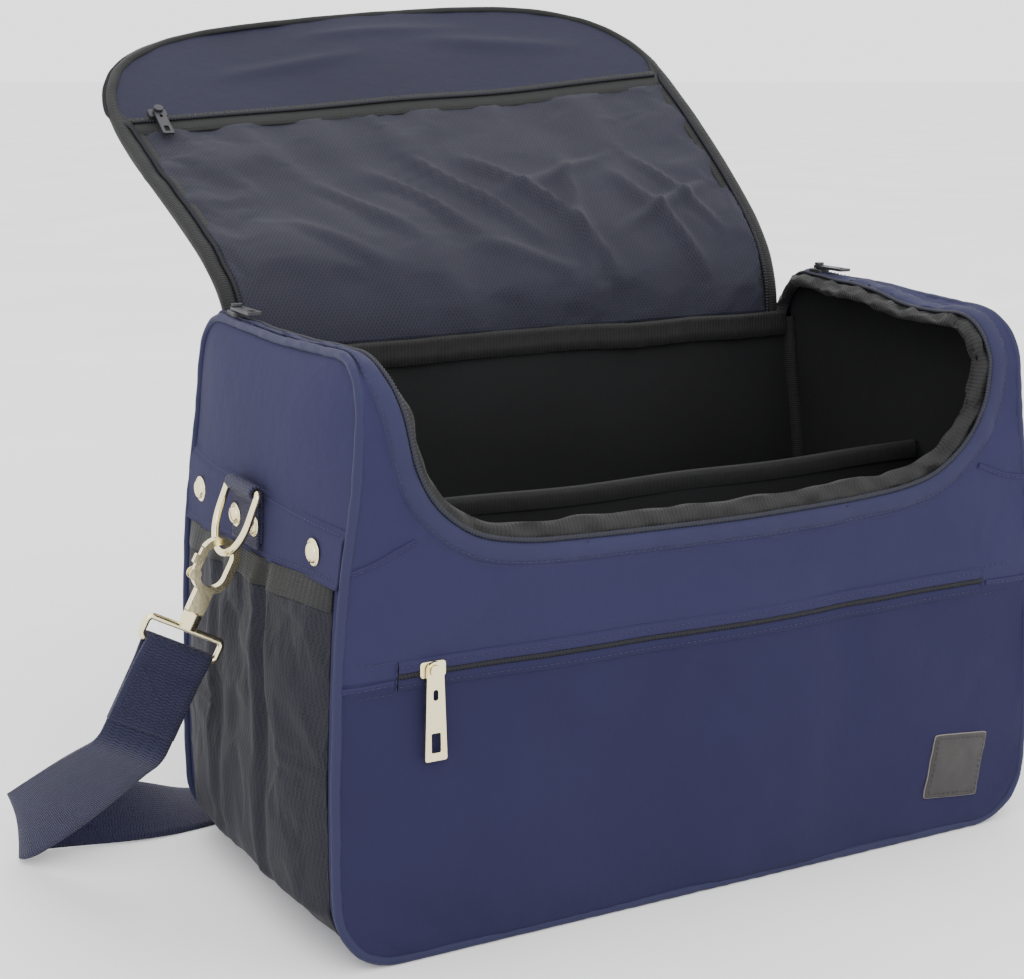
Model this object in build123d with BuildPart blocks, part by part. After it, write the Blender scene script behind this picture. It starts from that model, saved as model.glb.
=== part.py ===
from build123d import *
from math import cos, radians, sin, sqrt, tan
import os

# Soft-sided pet carrier bag, standing on its base with its lid folded back.
# X runs along the bag, -Y is the front, +Z is up, and the origin is the centre of the base.
# Two strips of cloth make the body, like the cover of a tennis ball: one runs up the front, over
# the top and down the back, the other down one end, under the base and up the other end.

# Driving dimensions, in millimetres and degrees
LENGTH = 440  # along X, below the height where the ends start to lean in
TOP_LENGTH = 422
DEPTH = 216
HEIGHT = 306
LEAN_START = 100  # height where the ends start to lean in
BOTTOM_CORNER = 34  # corner radius of the front outline
TOP_CORNER = 32  # corner radius of the end outline
FABRIC = 2  # outer cloth
WALL = 6  # outer cloth, foam and lining together
BOARD = 2
FLOOR_TOP = 9  # top of the floor pad
MARGIN = 40  # how far cutting tools reach past the bag

OPENING_SILL = 202  # lowest point of the opening in the front
OPENING_SILL_HALF = 174
OPENING_TOP_HALF = 198
OPENING_CORNER = 62
OPENING_BACK = 95  # the opening stops here below the top back corner
RIM = 3  # rolled edge round the opening
ZIP_HALF = 3  # half of the opening zip, beside the rim
BINDING = 9

LID_GAP = 1.5  # between the zip half on the bag and the closed lid
LID_THICK = 5
LID_OPEN = 145  # angle from the closed lid to the resting lid
LID_START = 3  # from the hinge line to the lid's first edge
FOLD = 217  # from the hinge line to the fold between lid and flap
FOLD_GAP = 2.7
HINGE_Y, HINGE_Z = DEPTH / 2 + 4, HEIGHT - 3
LID_EDGE = 6  # width of the lid's bound edge

POCKET_ZIP_Z = 150
POCKET_ZIP_X = (-186, 180)
POCKET_ZIP_WIDTH = 12
PANEL_SEAM = 149  # seam between the lower and upper front panels, beyond the zip
SHOULDER_SEAM = 211  # seam between the upper front panel and the shoulders

YOKE_Z = (187, 229)
RIVET_Z = 209
RIVET_Y = (-79, -12.5, 12.5, 79)
RING_Z = 226
RING_WIRE = 2.0  # wire radius of the D-ring
RING_HALF = 21
RING_DROP = 35
RING_TILT = 22
HOOK_TILT = 28
STRAP_WIDTH = 38
STRAP_THICK = 1.8
MESH_Z = (16, 174)
MESH_BULGE = 8.6
BAND_TOP = 187

os.makedirs("parts", exist_ok=True)


def finish(piece, name):
    """Label a finished piece and write it as its own STEP file."""
    piece.part.label = name
    export_step(piece.part, f"parts/{name}.step")


def box(x, y, z, mode=Mode.ADD):
    """Work with the box between three (low, high) pairs in the part being built."""
    spans = (x, y, z)
    middle = tuple((low + high) / 2 for low, high in spans)
    with Locations(middle):
        Box(*(high - low for low, high in spans), mode=mode)


def keep(x=(-600, 600), y=(-600, 600), z=(-600, 600)):
    """Keep only what lies in a box."""
    box(x, y, z, Mode.INTERSECT)


def end_x(z):
    """Half length of the bag at a height."""
    lean = (LENGTH - TOP_LENGTH) / 2 / (HEIGHT - LEAN_START)
    return LENGTH / 2 - lean * max(0, z - LEAN_START)


# ---------------------------------------------------------------- shared outlines


def front_prism(inset=0):
    """The front outline, open at the top, pushed through the bag front to back."""
    top = HEIGHT + MARGIN
    with BuildPart() as prism:
        with BuildSketch(Plane.XZ) as outline:
            with BuildLine():
                Polyline(
                    (-end_x(0), 0), (end_x(0), 0), (end_x(0), LEAN_START),
                    (end_x(top), top), (-end_x(top), top), (-end_x(0), LEAN_START),
                    close=True,
                )
            make_face()
            fillet(outline.vertices().group_by(Axis.Y)[0], BOTTOM_CORNER)
            if inset:
                offset(amount=-inset, kind=Kind.INTERSECTION)
        extrude(amount=DEPTH, both=True)
    return prism.part


def end_prism(inset=0):
    """The end outline, open at the bottom, pushed through the bag end to end."""
    with BuildPart() as prism:
        with BuildSketch(Plane.YZ) as outline:
            with Locations((0, (HEIGHT - MARGIN) / 2)):
                Rectangle(DEPTH, HEIGHT + MARGIN)
            fillet(outline.vertices().group_by(Axis.Y)[-1], TOP_CORNER)
            if inset:
                offset(amount=-inset, kind=Kind.INTERSECTION)
        extrude(amount=LENGTH, both=True)
    return prism.part


def opening_prism(inset=0):
    """The opening: a U cut down the front, through the top and over the top back corner."""
    rise = HEIGHT + MARGIN - OPENING_SILL
    slope = (OPENING_TOP_HALF - OPENING_SILL_HALF) / (HEIGHT - OPENING_SILL)
    top_half = OPENING_SILL_HALF + slope * rise
    with BuildPart() as prism:
        with BuildSketch(Plane.XZ) as outline:
            with BuildLine():
                Polyline(
                    (-OPENING_SILL_HALF, OPENING_SILL), (OPENING_SILL_HALF, OPENING_SILL),
                    (top_half, OPENING_SILL + rise), (-top_half, OPENING_SILL + rise),
                    close=True,
                )
            make_face()
            fillet(outline.vertices().group_by(Axis.Y)[0], OPENING_CORNER)
            if inset:
                offset(amount=-inset, kind=Kind.INTERSECTION)
        extrude(amount=DEPTH, both=True)
        box((-LENGTH, LENGTH), (OPENING_BACK, DEPTH + 1), (0, HEIGHT - TOP_CORNER), Mode.SUBTRACT)
    return prism.part


front_out, end_out = front_prism(), end_prism()
front_cloth, end_cloth = front_prism(FABRIC), end_prism(FABRIC)
front_in, end_in = front_prism(WALL), end_prism(WALL)
opening = opening_prism()


def layer(low, high, y, z, side):
    """A layer over one end, between two heights above the end cloth."""
    with BuildPart() as sheet:
        add(front_prism(-high))
        add(front_prism(-low), mode=Mode.SUBTRACT)
        keep((0, 600) if side > 0 else (-600, 0), y, z)
    return sheet.part


# ---------------------------------------------------------------- piping in the seam

PIPE = 2.5
PIPE_INSET = 1.5
pipe_y = DEPTH / 2 - PIPE_INSET
pipe_top = HEIGHT - PIPE_INSET
with BuildPart() as quarter_piping:
    with BuildLine() as pipe_path:
        FilletPolyline(
            (0, -pipe_y, PIPE),
            (end_x(0) - PIPE_INSET, -pipe_y, PIPE),
            (end_x(0) - PIPE_INSET, -pipe_y, LEAN_START),
            (end_x(pipe_top) - PIPE_INSET, -pipe_y, pipe_top),
            (end_x(pipe_top) - PIPE_INSET, 0, pipe_top),
            radius=(BOTTOM_CORNER - 2, 60, TOP_CORNER - 2),
        )
    with BuildSketch(Plane(pipe_path.line @ 0, z_dir=pipe_path.line % 0)):
        Circle(PIPE)
    sweep()
with BuildPart() as seam_piping:
    add(quarter_piping.part)
    mirror(about=Plane.YZ)
    mirror(about=Plane.XZ)
finish(seam_piping, "seam_piping")

# ---------------------------------------------------------------- outer cloth

with BuildPart() as wrap_cloth:
    add(front_out)
    add(end_out, mode=Mode.INTERSECT)
    add(end_cloth, mode=Mode.SUBTRACT)
    add(opening, mode=Mode.SUBTRACT)
    add(seam_piping.part, mode=Mode.SUBTRACT)
    keep(z=(PIPE, HEIGHT))

pocket_half = POCKET_ZIP_WIDTH / 2 - 1
pocket_slot = (POCKET_ZIP_Z - pocket_half, POCKET_ZIP_Z + pocket_half)

with BuildPart() as front_lower_panel:
    add(wrap_cloth.part)
    keep(y=(-DEPTH, 0), z=(0, PANEL_SEAM))
    box(POCKET_ZIP_X, (-DEPTH, 0), pocket_slot, Mode.SUBTRACT)
    add(front_lower_panel.solids().sort_by(SortBy.VOLUME)[-1], mode=Mode.REPLACE)
finish(front_lower_panel, "front_lower_panel")

with BuildPart() as front_upper_panel:
    add(wrap_cloth.part)
    keep(y=(-DEPTH, 0), z=(PANEL_SEAM, SHOULDER_SEAM))
    box(POCKET_ZIP_X, (-DEPTH, 0), pocket_slot, Mode.SUBTRACT)
finish(front_upper_panel, "front_upper_panel")

with BuildPart() as back_panel:
    add(wrap_cloth.part)
    keep(y=(0, DEPTH), z=(0, HEIGHT - TOP_CORNER))
    add(back_panel.solids().sort_by(SortBy.VOLUME)[-1], mode=Mode.REPLACE)
finish(back_panel, "back_panel")

# The shoulders run from the front seam over the top to the back seam, one each side.
with BuildPart() as shoulder_strips:
    add(wrap_cloth.part)
    keep(z=(SHOULDER_SEAM, HEIGHT))
    box((-LENGTH, LENGTH), (0, DEPTH), (0, HEIGHT - TOP_CORNER), Mode.SUBTRACT)
finish(shoulder_strips, "shoulder_strips")

with BuildPart() as gusset_cloth:
    add(front_out)
    add(end_cloth, mode=Mode.INTERSECT)
    add(front_cloth, mode=Mode.SUBTRACT)
    add(seam_piping.part, mode=Mode.SUBTRACT)

BASE_HALF = LENGTH / 2 - BOTTOM_CORNER
with BuildPart() as bottom_panel:
    add(gusset_cloth.part)
    keep(x=(-BASE_HALF, BASE_HALF))
finish(bottom_panel, "bottom_panel")


def rivet_shanks(radius, reach):
    """Cylinders along the rivets' axes, from inside the wall out through one end."""
    with Locations(*[(end_x(RIVET_Z) - WALL, y, RIVET_Z) for y in RIVET_Y]):
        Cylinder(radius, reach, rotation=(0, 90, 0),
                 align=(Align.CENTER, Align.CENTER, Align.MIN), mode=Mode.SUBTRACT)


def write_pair(piece, name):
    """Write the right-hand piece and its mirror image for the left end."""
    finish(piece, f"{name}_right")
    with BuildPart() as other:
        mirror(piece.part, about=Plane.YZ)
    finish(other, f"{name}_left")


SHANK = 2
with BuildPart() as end_panel:
    add(gusset_cloth.part)
    keep(x=(BASE_HALF, LENGTH))
    rivet_shanks(SHANK, 2 * WALL)
write_pair(end_panel, "end_panel")

# ---------------------------------------------------------------- foam and lining

with BuildPart() as wrap_padding:
    add(front_cloth)
    add(end_cloth, mode=Mode.INTERSECT)
    add(end_in, mode=Mode.SUBTRACT)
    add(opening, mode=Mode.SUBTRACT)
    add(seam_piping.part, mode=Mode.SUBTRACT)

POCKET_FLOOR = 24
POCKET_PLY = 0.8
cloth_y = -DEPTH / 2 + FABRIC
with BuildPart() as pocket_lining:
    box((POCKET_ZIP_X[0] - 6, POCKET_ZIP_X[1] + 6), (cloth_y, cloth_y + POCKET_PLY),
        (POCKET_FLOOR, POCKET_ZIP_Z + POCKET_ZIP_WIDTH))
finish(pocket_lining, "pocket_lining")

with BuildPart() as front_padding:
    add(wrap_padding.part)
    keep(y=(-DEPTH, 0))
    add(pocket_lining.part, mode=Mode.SUBTRACT)
finish(front_padding, "front_padding")

with BuildPart() as back_padding:
    add(wrap_padding.part)
    keep(y=(0, DEPTH))
finish(back_padding, "back_padding")

FLOOR_HALF = BASE_HALF - 2
with BuildPart() as end_padding:
    add(front_cloth)
    add(end_in, mode=Mode.INTERSECT)
    add(front_in, mode=Mode.SUBTRACT)
    keep(x=(BASE_HALF, LENGTH))
    rivet_shanks(SHANK, WALL)
write_pair(end_padding, "end_padding")

floor_y = DEPTH / 2 - WALL - 0.5
with BuildPart() as base_board:
    box((-FLOOR_HALF, FLOOR_HALF), (-floor_y, floor_y), (FABRIC, FABRIC + BOARD))
    fillet(base_board.edges().filter_by(Axis.Z), 8)
finish(base_board, "base_board")

with BuildPart() as floor_pad:
    box((-FLOOR_HALF, FLOOR_HALF), (-floor_y, floor_y), (FABRIC + BOARD, FLOOR_TOP))
    fillet(floor_pad.edges().filter_by(Axis.Z), 8)
finish(floor_pad, "floor_pad")

DIVIDER_Y = (-18, -13)
DIVIDER_TOP = 213
with BuildPart() as divider:
    add(front_prism(WALL + 0.5))
    keep(y=DIVIDER_Y, z=(FLOOR_TOP, DIVIDER_TOP))
finish(divider, "divider")

# Bindings over the four upright seams inside the cabin
CORNER_TAPE = 6
inner_y = DEPTH / 2 - WALL
tape_x = end_x(HEIGHT) - WALL - CORNER_TAPE
TAPE_FOOT = 17
with BuildPart() as corner_bindings:
    for side in (-1, 1):
        low, high = sorted((side * tape_x, side * (tape_x + CORNER_TAPE)))
        box((low, high), (inner_y - 1.5, inner_y), (TAPE_FOOT, 262))
        box((low, high), (-inner_y, -inner_y + 1.5), (TAPE_FOOT, 192))
finish(corner_bindings, "corner_bindings")

# ---------------------------------------------------------------- edge of the opening


def opening_band(outer, inner, shallow, deep):
    """A band round the opening, between two insets from its edge and two depths in the wall."""
    with BuildPart() as core:
        add(front_prism(deep))
        add(end_prism(deep), mode=Mode.INTERSECT)
    with BuildPart() as band:
        add(opening_prism(outer) if outer else opening)
        add(opening_prism(inner), mode=Mode.SUBTRACT)
        add(front_prism(shallow), mode=Mode.INTERSECT)
        add(end_prism(shallow), mode=Mode.INTERSECT)
        add(core.part, mode=Mode.SUBTRACT)
    return band


opening_rim = opening_band(0, RIM, 0, WALL)
finish(opening_rim, "opening_rim")
opening_zip = opening_band(RIM, RIM + ZIP_HALF, 1, 4)
finish(opening_zip, "opening_zip")
opening_binding = opening_band(0, BINDING, WALL, WALL + 2)
finish(opening_binding, "opening_binding")

BAND_HALF = 183
BAND_TOP_Z = HEIGHT - 7
with BuildPart() as hinge_band:
    box((-BAND_HALF, BAND_HALF), (inner_y, DEPTH / 2), (HEIGHT - TOP_CORNER, BAND_TOP_Z))
finish(hinge_band, "hinge_band")

with BuildPart() as hinge_binding:
    box((-BAND_HALF + 3, BAND_HALF - 3), (inner_y - 2, inner_y), (264, 276))
finish(hinge_binding, "hinge_binding")

# ---------------------------------------------------------------- front pocket zip and patch

front_y = -DEPTH / 2
COIL = 1.5  # half height of the coil
with BuildPart() as pocket_zip:
    box(POCKET_ZIP_X, (front_y + 0.8, front_y + FABRIC), pocket_slot)
    box((POCKET_ZIP_X[0] + 2, POCKET_ZIP_X[1] - 2), (front_y - 0.2, front_y + 0.8),
        (POCKET_ZIP_Z - COIL, POCKET_ZIP_Z + COIL))
finish(pocket_zip, "pocket_zip")

PATCH = 38.5
PATCH_AT = (167, 42)
with BuildPart() as leather_patch:
    with BuildSketch(Plane.XZ.offset(DEPTH / 2)):
        with Locations((*PATCH_AT,)):
            RectangleRounded(PATCH, PATCH, 1.5, rotation=6)
    extrude(amount=1.8)
finish(leather_patch, "leather_patch")

# ---------------------------------------------------------------- zip sliders and pullers

POST, CAP = 1.7, 2.9
PULLER_LOW, PULLER_HIGH = 4.3, 5.9  # faces of the puller above the cloth


def slider_body(plane, across, along):
    """A slider on a zip, standing on a plane, with a capped post for its puller."""
    with BuildPart() as body:
        with BuildSketch(plane.offset(0.5)):
            RectangleRounded(across, along, 2)
        extrude(amount=3.2)
        fillet(body.faces().sort_by(Axis((0, 0, 0), plane.z_dir))[-1].edges(), 0.8)
        with BuildSketch(plane.offset(3)):
            Circle(POST)
        extrude(amount=PULLER_HIGH - 2.5)
        with BuildSketch(plane.offset(PULLER_HIGH + 0.4)):
            Circle(CAP)
        extrude(amount=1.2)
    return body


def puller_plate(plane, length, top, bottom):
    """A flat puller that hangs along the plane's -y, with its eyelet round the post."""
    with BuildPart() as plate:
        with BuildSketch(plane.offset(PULLER_LOW)) as outline:
            with BuildLine():
                Polyline(
                    (-top / 2, 0), (top / 2, 0), (bottom / 2, -length), (-bottom / 2, -length),
                    close=True,
                )
            make_face()
            fillet(outline.vertices().group_by(Axis.Y)[0], 1.2)
            Circle(top / 2)
            Circle(POST + 0.4, mode=Mode.SUBTRACT)
            with Locations((0, -length * 0.27)):
                RectangleRounded(top * 0.3, length * 0.12, top * 0.14, mode=Mode.SUBTRACT)
            with Locations((0, -length * 0.8)):
                RectangleRounded(bottom * 0.42, length * 0.22, 0.8, mode=Mode.SUBTRACT)
        extrude(amount=PULLER_HIGH - PULLER_LOW)
    return plate


FRONT_SLIDER_X = -168
front_face = Plane((FRONT_SLIDER_X, front_y, POCKET_ZIP_Z + 2), x_dir=(1, 0, 0), z_dir=(0, -1, 0))
finish(slider_body(front_face, 14, 8.5), "pocket_slider")
finish(puller_plate(front_face, 46, 9, 12), "pocket_puller")

OPENING_SLIDER_X = 195
OPENING_SLIDER_Y = 70
top_face = Plane((OPENING_SLIDER_X, OPENING_SLIDER_Y, HEIGHT), x_dir=(1, 0, 0), z_dir=(0, 0, 1))
write_pair(slider_body(top_face, 8, 13), "opening_slider")
write_pair(puller_plate(top_face, 27, 7, 8), "opening_puller")

# ---------------------------------------------------------------- lid and flap

lid_angle = radians(180 - LID_OPEN)
lid_face = Plane(
    (0, HINGE_Y, HINGE_Z), x_dir=(1, 0, 0), z_dir=(0, -sin(lid_angle), cos(lid_angle))
)
lid_inset = RIM + ZIP_HALF + LID_GAP
side_slope = (OPENING_TOP_HALF - OPENING_SILL_HALF) / (HEIGHT - OPENING_SILL)
LID_HALF = OPENING_TOP_HALF - lid_inset
flap_end = FOLD + HINGE_Z - OPENING_SILL - lid_inset
flap_end_half = OPENING_SILL_HALF + side_slope * lid_inset - lid_inset * sqrt(1 + side_slope**2)
MESH_START, MESH_END = 9, 183
LID_ZIP_END = 199
FACING = 1  # thickness of the mesh and zip on the lid's inner side


def lid_plate(start, end, half, low, high):
    """A rectangular plate of the lid between two distances from the hinge line."""
    with BuildPart() as plate:
        with BuildSketch(lid_face.offset(low)):
            with Locations((0, (start + end) / 2)):
                Rectangle(2 * half, end - start)
        extrude(amount=high - low)
    return plate.part


lid_low, lid_high = -LID_THICK / 2, LID_THICK / 2
facing_low = lid_high - FACING
cover_half = LID_HALF - LID_EDGE
lid_end = FOLD - FOLD_GAP

with BuildPart() as lid_cover:
    add(lid_plate(LID_START, lid_end, cover_half, lid_low, facing_low))
    add(lid_plate(LID_ZIP_END, lid_end, cover_half, facing_low, lid_high))
finish(lid_cover, "lid_cover")

with BuildPart() as lid_mesh_pocket:
    add(lid_plate(LID_START, MESH_END, cover_half, facing_low, lid_high))
finish(lid_mesh_pocket, "lid_mesh_pocket")

with BuildPart() as lid_pocket_zip:
    add(lid_plate(MESH_END, LID_ZIP_END, cover_half, facing_low, lid_high))
finish(lid_pocket_zip, "lid_pocket_zip")

with BuildPart() as lid_binding:
    add(lid_plate(LID_START, lid_end, LID_HALF, lid_low, lid_high))
    middle = lid_plate(-FOLD, 2 * FOLD, cover_half, lid_low - 1, lid_high + 1)
    add(middle, mode=Mode.SUBTRACT)
finish(lid_binding, "lid_binding")

fold_half = LID_HALF - side_slope * 3


def flap_outline(inset):
    """The flap's rounded outline, from the fold to its free edge."""
    with BuildSketch() as outline:
        with BuildLine():
            Polyline(
                (-flap_end_half, flap_end), (flap_end_half, flap_end),
                (fold_half, FOLD + FOLD_GAP), (-fold_half, FOLD + FOLD_GAP),
                close=True,
            )
        make_face()
        fillet(outline.vertices().group_by(Axis.Y)[-1], OPENING_CORNER - lid_inset)
        if inset:
            offset(amount=-inset, kind=Kind.INTERSECTION)
            with Locations((0, FOLD + FOLD_GAP + inset)):
                Rectangle(2 * (fold_half - inset), 2 * inset)
    return outline.sketch


with BuildPart() as flap_cover:
    with BuildSketch(lid_face.offset(lid_low)):
        add(flap_outline(LID_EDGE))
    extrude(amount=LID_THICK)
finish(flap_cover, "flap_cover")

with BuildPart() as flap_binding:
    with BuildSketch(lid_face.offset(lid_low)):
        add(flap_outline(0))
    extrude(amount=LID_THICK)
    add(flap_cover.part, mode=Mode.SUBTRACT)
finish(flap_binding, "flap_binding")

LID_SLIDER_X = -168
lid_zip_middle = (MESH_END + LID_ZIP_END) / 2
slider_spot = lid_face.from_local_coords(Vector(LID_SLIDER_X, lid_zip_middle, lid_high))
lid_slider_face = Plane(slider_spot, x_dir=lid_face.x_dir, z_dir=lid_face.z_dir)
finish(slider_body(lid_slider_face, 12, 7.5), "lid_slider")
finish(puller_plate(lid_slider_face, 24, 6.5, 7.5), "lid_puller")

# ---------------------------------------------------------------- ends: yoke, rivets, mesh pocket

YOKE = 2
with BuildPart() as end_yoke:
    add(layer(0, YOKE, (-104, 104), YOKE_Z, 1))
    rivet_shanks(SHANK, 3 * WALL)
write_pair(end_yoke, "end_yoke")

mesh_half = 98
with BuildPart() as mesh_pocket:
    add(layer(0, MESH_BULGE, (-mesh_half, mesh_half), MESH_Z, 1))
    inner = (-mesh_half + 1.2, mesh_half - 1.2)
    add(layer(-1, MESH_BULGE - 1.2, inner, (MESH_Z[0] + 1.2, 300), 1), mode=Mode.SUBTRACT)
write_pair(mesh_pocket, "mesh_pocket")

with BuildPart() as pocket_elastic:
    add(layer(0, MESH_BULGE, (-mesh_half, mesh_half), (MESH_Z[1], BAND_TOP), 1))
    inner = (-mesh_half + 2, mesh_half - 2)
    add(layer(-1, MESH_BULGE - 2, inner, (0, 300), 1), mode=Mode.SUBTRACT)
write_pair(pocket_elastic, "pocket_elastic")

# The hardware on an end stands square to the end cloth, which leans a little.
lean_angle = (LENGTH - TOP_LENGTH) / 2 / (HEIGHT - LEAN_START)
TAB_HALF = 18
TAB_PLY = 1.5
RIVET_HEAD = 6.5
tab_face = YOKE + 2 * TAB_PLY
ring_x = end_x(RING_Z) + YOKE + TAB_PLY + RING_WIRE + 0.5
LOOP_IN = RING_WIRE + 0.35
LOOP_OUT = LOOP_IN + TAB_PLY
with BuildPart() as ring_tab:
    add(layer(YOKE, tab_face, (-TAB_HALF, TAB_HALF), (196, 219), 1))
    add(layer(YOKE, YOKE + TAB_PLY, (-TAB_HALF, TAB_HALF), (196, RING_Z), 1))
    with BuildSketch(Plane.XZ):
        with Locations((ring_x, RING_Z)):
            Circle(LOOP_OUT)
        with BuildLine():
            Polyline(
                (ring_x - LOOP_OUT + 0.2, RING_Z), (ring_x + LOOP_OUT - 0.2, RING_Z),
                (end_x(216) + tab_face, 216), (end_x(216) + YOKE + 0.1, 216),
                close=True,
            )
        make_face()
    extrude(amount=TAB_HALF, both=True)
    add(layer(-20, YOKE, (-30, 30), (150, 260), 1), mode=Mode.SUBTRACT)
    with Locations((ring_x, 0, RING_Z)):
        Cylinder(LOOP_IN, 80, rotation=(90, 0, 0), mode=Mode.SUBTRACT)
    with Locations(*[(end_x(RIVET_Z), y, RIVET_Z) for y in RIVET_Y[1:3]]):
        Cylinder(SHANK, 40, rotation=(0, 90, 0), mode=Mode.SUBTRACT)
write_pair(ring_tab, "ring_tab")

upright = (Align.CENTER, Align.CENTER, Align.MIN)


def rivet(y):
    seat = end_x(RIVET_Z) + YOKE + 0.35 + (2 * TAB_PLY if abs(y) < TAB_HALF else 0)
    foot = end_x(RIVET_Z) - WALL + 1
    with BuildPart() as one:
        with Locations((foot, y, RIVET_Z)):
            Cylinder(SHANK, seat - foot, rotation=(0, 90, 0), align=upright)
        with Locations((seat, y, RIVET_Z)):
            Cylinder(RIVET_HEAD, 2.4, rotation=(0, 90, 0), align=upright)
        fillet(one.faces().sort_by(Axis.X)[-1].edges(), 1.5)
    return one.part


rivet_pieces = [rivet(y) for y in RIVET_Y]
with BuildPart() as rivets:
    add(rivet_pieces)
write_pair(rivets, "rivets")

# ---------------------------------------------------------------- D-ring, snap hook and strap end

ring_angle = radians(RING_TILT)
ring_face = Plane(
    (ring_x, 0, RING_Z), x_dir=(0, 1, 0), z_dir=(cos(ring_angle), 0, sin(ring_angle))
)
RING_CORNER = 2.5
bar_half = RING_HALF - RING_CORNER
with BuildPart() as d_ring:
    with BuildLine(ring_face) as ring_path:
        Line((-bar_half, 0), (bar_half, 0))
        corner = JernArc((bar_half, 0), (1, 0), RING_CORNER, -90)
        side = Line(corner @ 1, (RING_HALF, RING_HALF - RING_DROP))
        bow = JernArc(side @ 1, (0, -1), RING_HALF, -180)
        rise = Line(bow @ 1, (-RING_HALF, -RING_CORNER))
        JernArc(rise @ 1, (0, 1), RING_CORNER, -90)
    with BuildSketch(Plane(ring_path.line @ 0, z_dir=ring_path.line % 0)):
        Circle(RING_WIRE)
    sweep()
write_pair(d_ring, "d_ring")

# The hook's plane: y up along the hook, x away from the bag on the gate's side, z to the front.
bow_x = ring_x + RING_DROP * sin(ring_angle)
bow_z = RING_Z - RING_DROP * cos(ring_angle)
tilt = radians(HOOK_TILT)
hook_face = Plane((bow_x, 0, bow_z), x_dir=(cos(tilt), 0, sin(tilt)), z_dir=(0, -1, 0))
EYE, EYE_WALL = 7, 3.5  # radius of the eye's ends, and its metal
EYE_TOP, EYE_BOTTOM = -3.2, -12.2
GATE_X, GATE_HINGE_Y = 8.8, -15.5
HOOK_HALF = 2.5
HOOK_FOOT = -34
SWIVEL_PIN = 2.5
with BuildPart() as hook:
    with BuildSketch(hook_face):
        with Locations((0, (EYE_TOP + EYE_BOTTOM) / 2)):
            SlotCenterToCenter(EYE_TOP - EYE_BOTTOM, 2 * (EYE + EYE_WALL), rotation=90)
            SlotCenterToCenter(EYE_TOP - EYE_BOTTOM, 2 * EYE, rotation=90, mode=Mode.SUBTRACT)
        with Locations((0, HOOK_FOOT / 2 - 11)):
            Rectangle(9, -HOOK_FOOT - 22)
        with Locations((GATE_X, GATE_HINGE_Y / 2 - 0.5)):
            Rectangle(5, -GATE_HINGE_Y - 1, mode=Mode.SUBTRACT)
    extrude(amount=HOOK_HALF, both=True)
    with BuildSketch(hook_face):
        with Locations((GATE_X, GATE_HINGE_Y)):
            Circle(3.4)
    extrude(amount=1.7, both=True, mode=Mode.SUBTRACT)
    for side in (-HOOK_HALF, 1.7):
        with BuildSketch(hook_face.offset(side)):
            with Locations((GATE_X, GATE_HINGE_Y)):
                Circle(3.2)
        extrude(amount=0.8)
    with BuildSketch(hook_face):
        with Locations((GATE_X, GATE_HINGE_Y)):
            Circle(0.9)
    extrude(amount=HOOK_HALF, both=True)
    with BuildSketch(Plane(hook_face.from_local_coords(Vector(0, HOOK_FOOT + 1, 0)),
                           z_dir=-hook_face.y_dir)):
        Circle(SWIVEL_PIN)
    extrude(amount=6)
write_pair(hook, "hook")

with BuildPart() as hook_gate:
    with BuildSketch(hook_face):
        with Locations((GATE_X, (GATE_HINGE_Y - 1.6) / 2)):
            Rectangle(3.6, -GATE_HINGE_Y - 1.6)
        with Locations((GATE_X, GATE_HINGE_Y)):
            Circle(2)
            Circle(0.96, mode=Mode.SUBTRACT)
        with Locations((GATE_X + 2.4, -8)):
            RectangleRounded(2.4, 5, 0.8)
    extrude(amount=1.4, both=True)
write_pair(hook_gate, "hook_gate")

LOOP_WIRE = 1.75
LOOP_HALF = 21.75
BARREL_TOP = HOOK_FOOT - 0.4
LOOP_TOP = BARREL_TOP - 8.8
LOOP_BOTTOM = LOOP_TOP - 11.5
with BuildPart() as swivel_loop:
    with BuildSketch(Plane(hook_face.from_local_coords(Vector(0, BARREL_TOP, 0)),
                           z_dir=-hook_face.y_dir)):
        Circle(5)
    extrude(amount=8.6)
    with BuildSketch(Plane(hook_face.from_local_coords(Vector(0, BARREL_TOP, 0)),
                           z_dir=-hook_face.y_dir)):
        Circle(SWIVEL_PIN + 0.06)
    extrude(amount=6, mode=Mode.SUBTRACT)
    with BuildLine(hook_face) as loop_path:
        FilletPolyline(
            (LOOP_HALF, LOOP_TOP), (LOOP_HALF, LOOP_BOTTOM),
            (-LOOP_HALF, LOOP_BOTTOM), (-LOOP_HALF, LOOP_TOP), radius=3, close=True,
        )
    with BuildSketch(Plane(loop_path.line @ 0, z_dir=loop_path.line % 0)):
        Circle(LOOP_WIRE)
    sweep()
write_pair(swivel_loop, "swivel_loop")

# The end of the strap is folded round the loop's lower bar and stitched back on itself.
STRAP_FOLD = 45
loop_bar = hook_face.from_local_coords(Vector(0, LOOP_BOTTOM, 0))
fold_face = Plane(loop_bar, x_dir=hook_face.z_dir, z_dir=hook_face.x_dir)
with BuildPart() as strap_end:
    with BuildSketch(fold_face) as fold_profile:
        Circle(LOOP_WIRE + 0.3 + STRAP_THICK)
        with Locations((0, STRAP_FOLD / 2)):
            Rectangle(2 * STRAP_THICK, STRAP_FOLD)
        Circle(LOOP_WIRE + 0.3, mode=Mode.SUBTRACT)
    extrude(amount=STRAP_WIDTH / 2, both=True)
write_pair(strap_end, "strap_end")

# ---------------------------------------------------------------- shoulder strap

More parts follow.
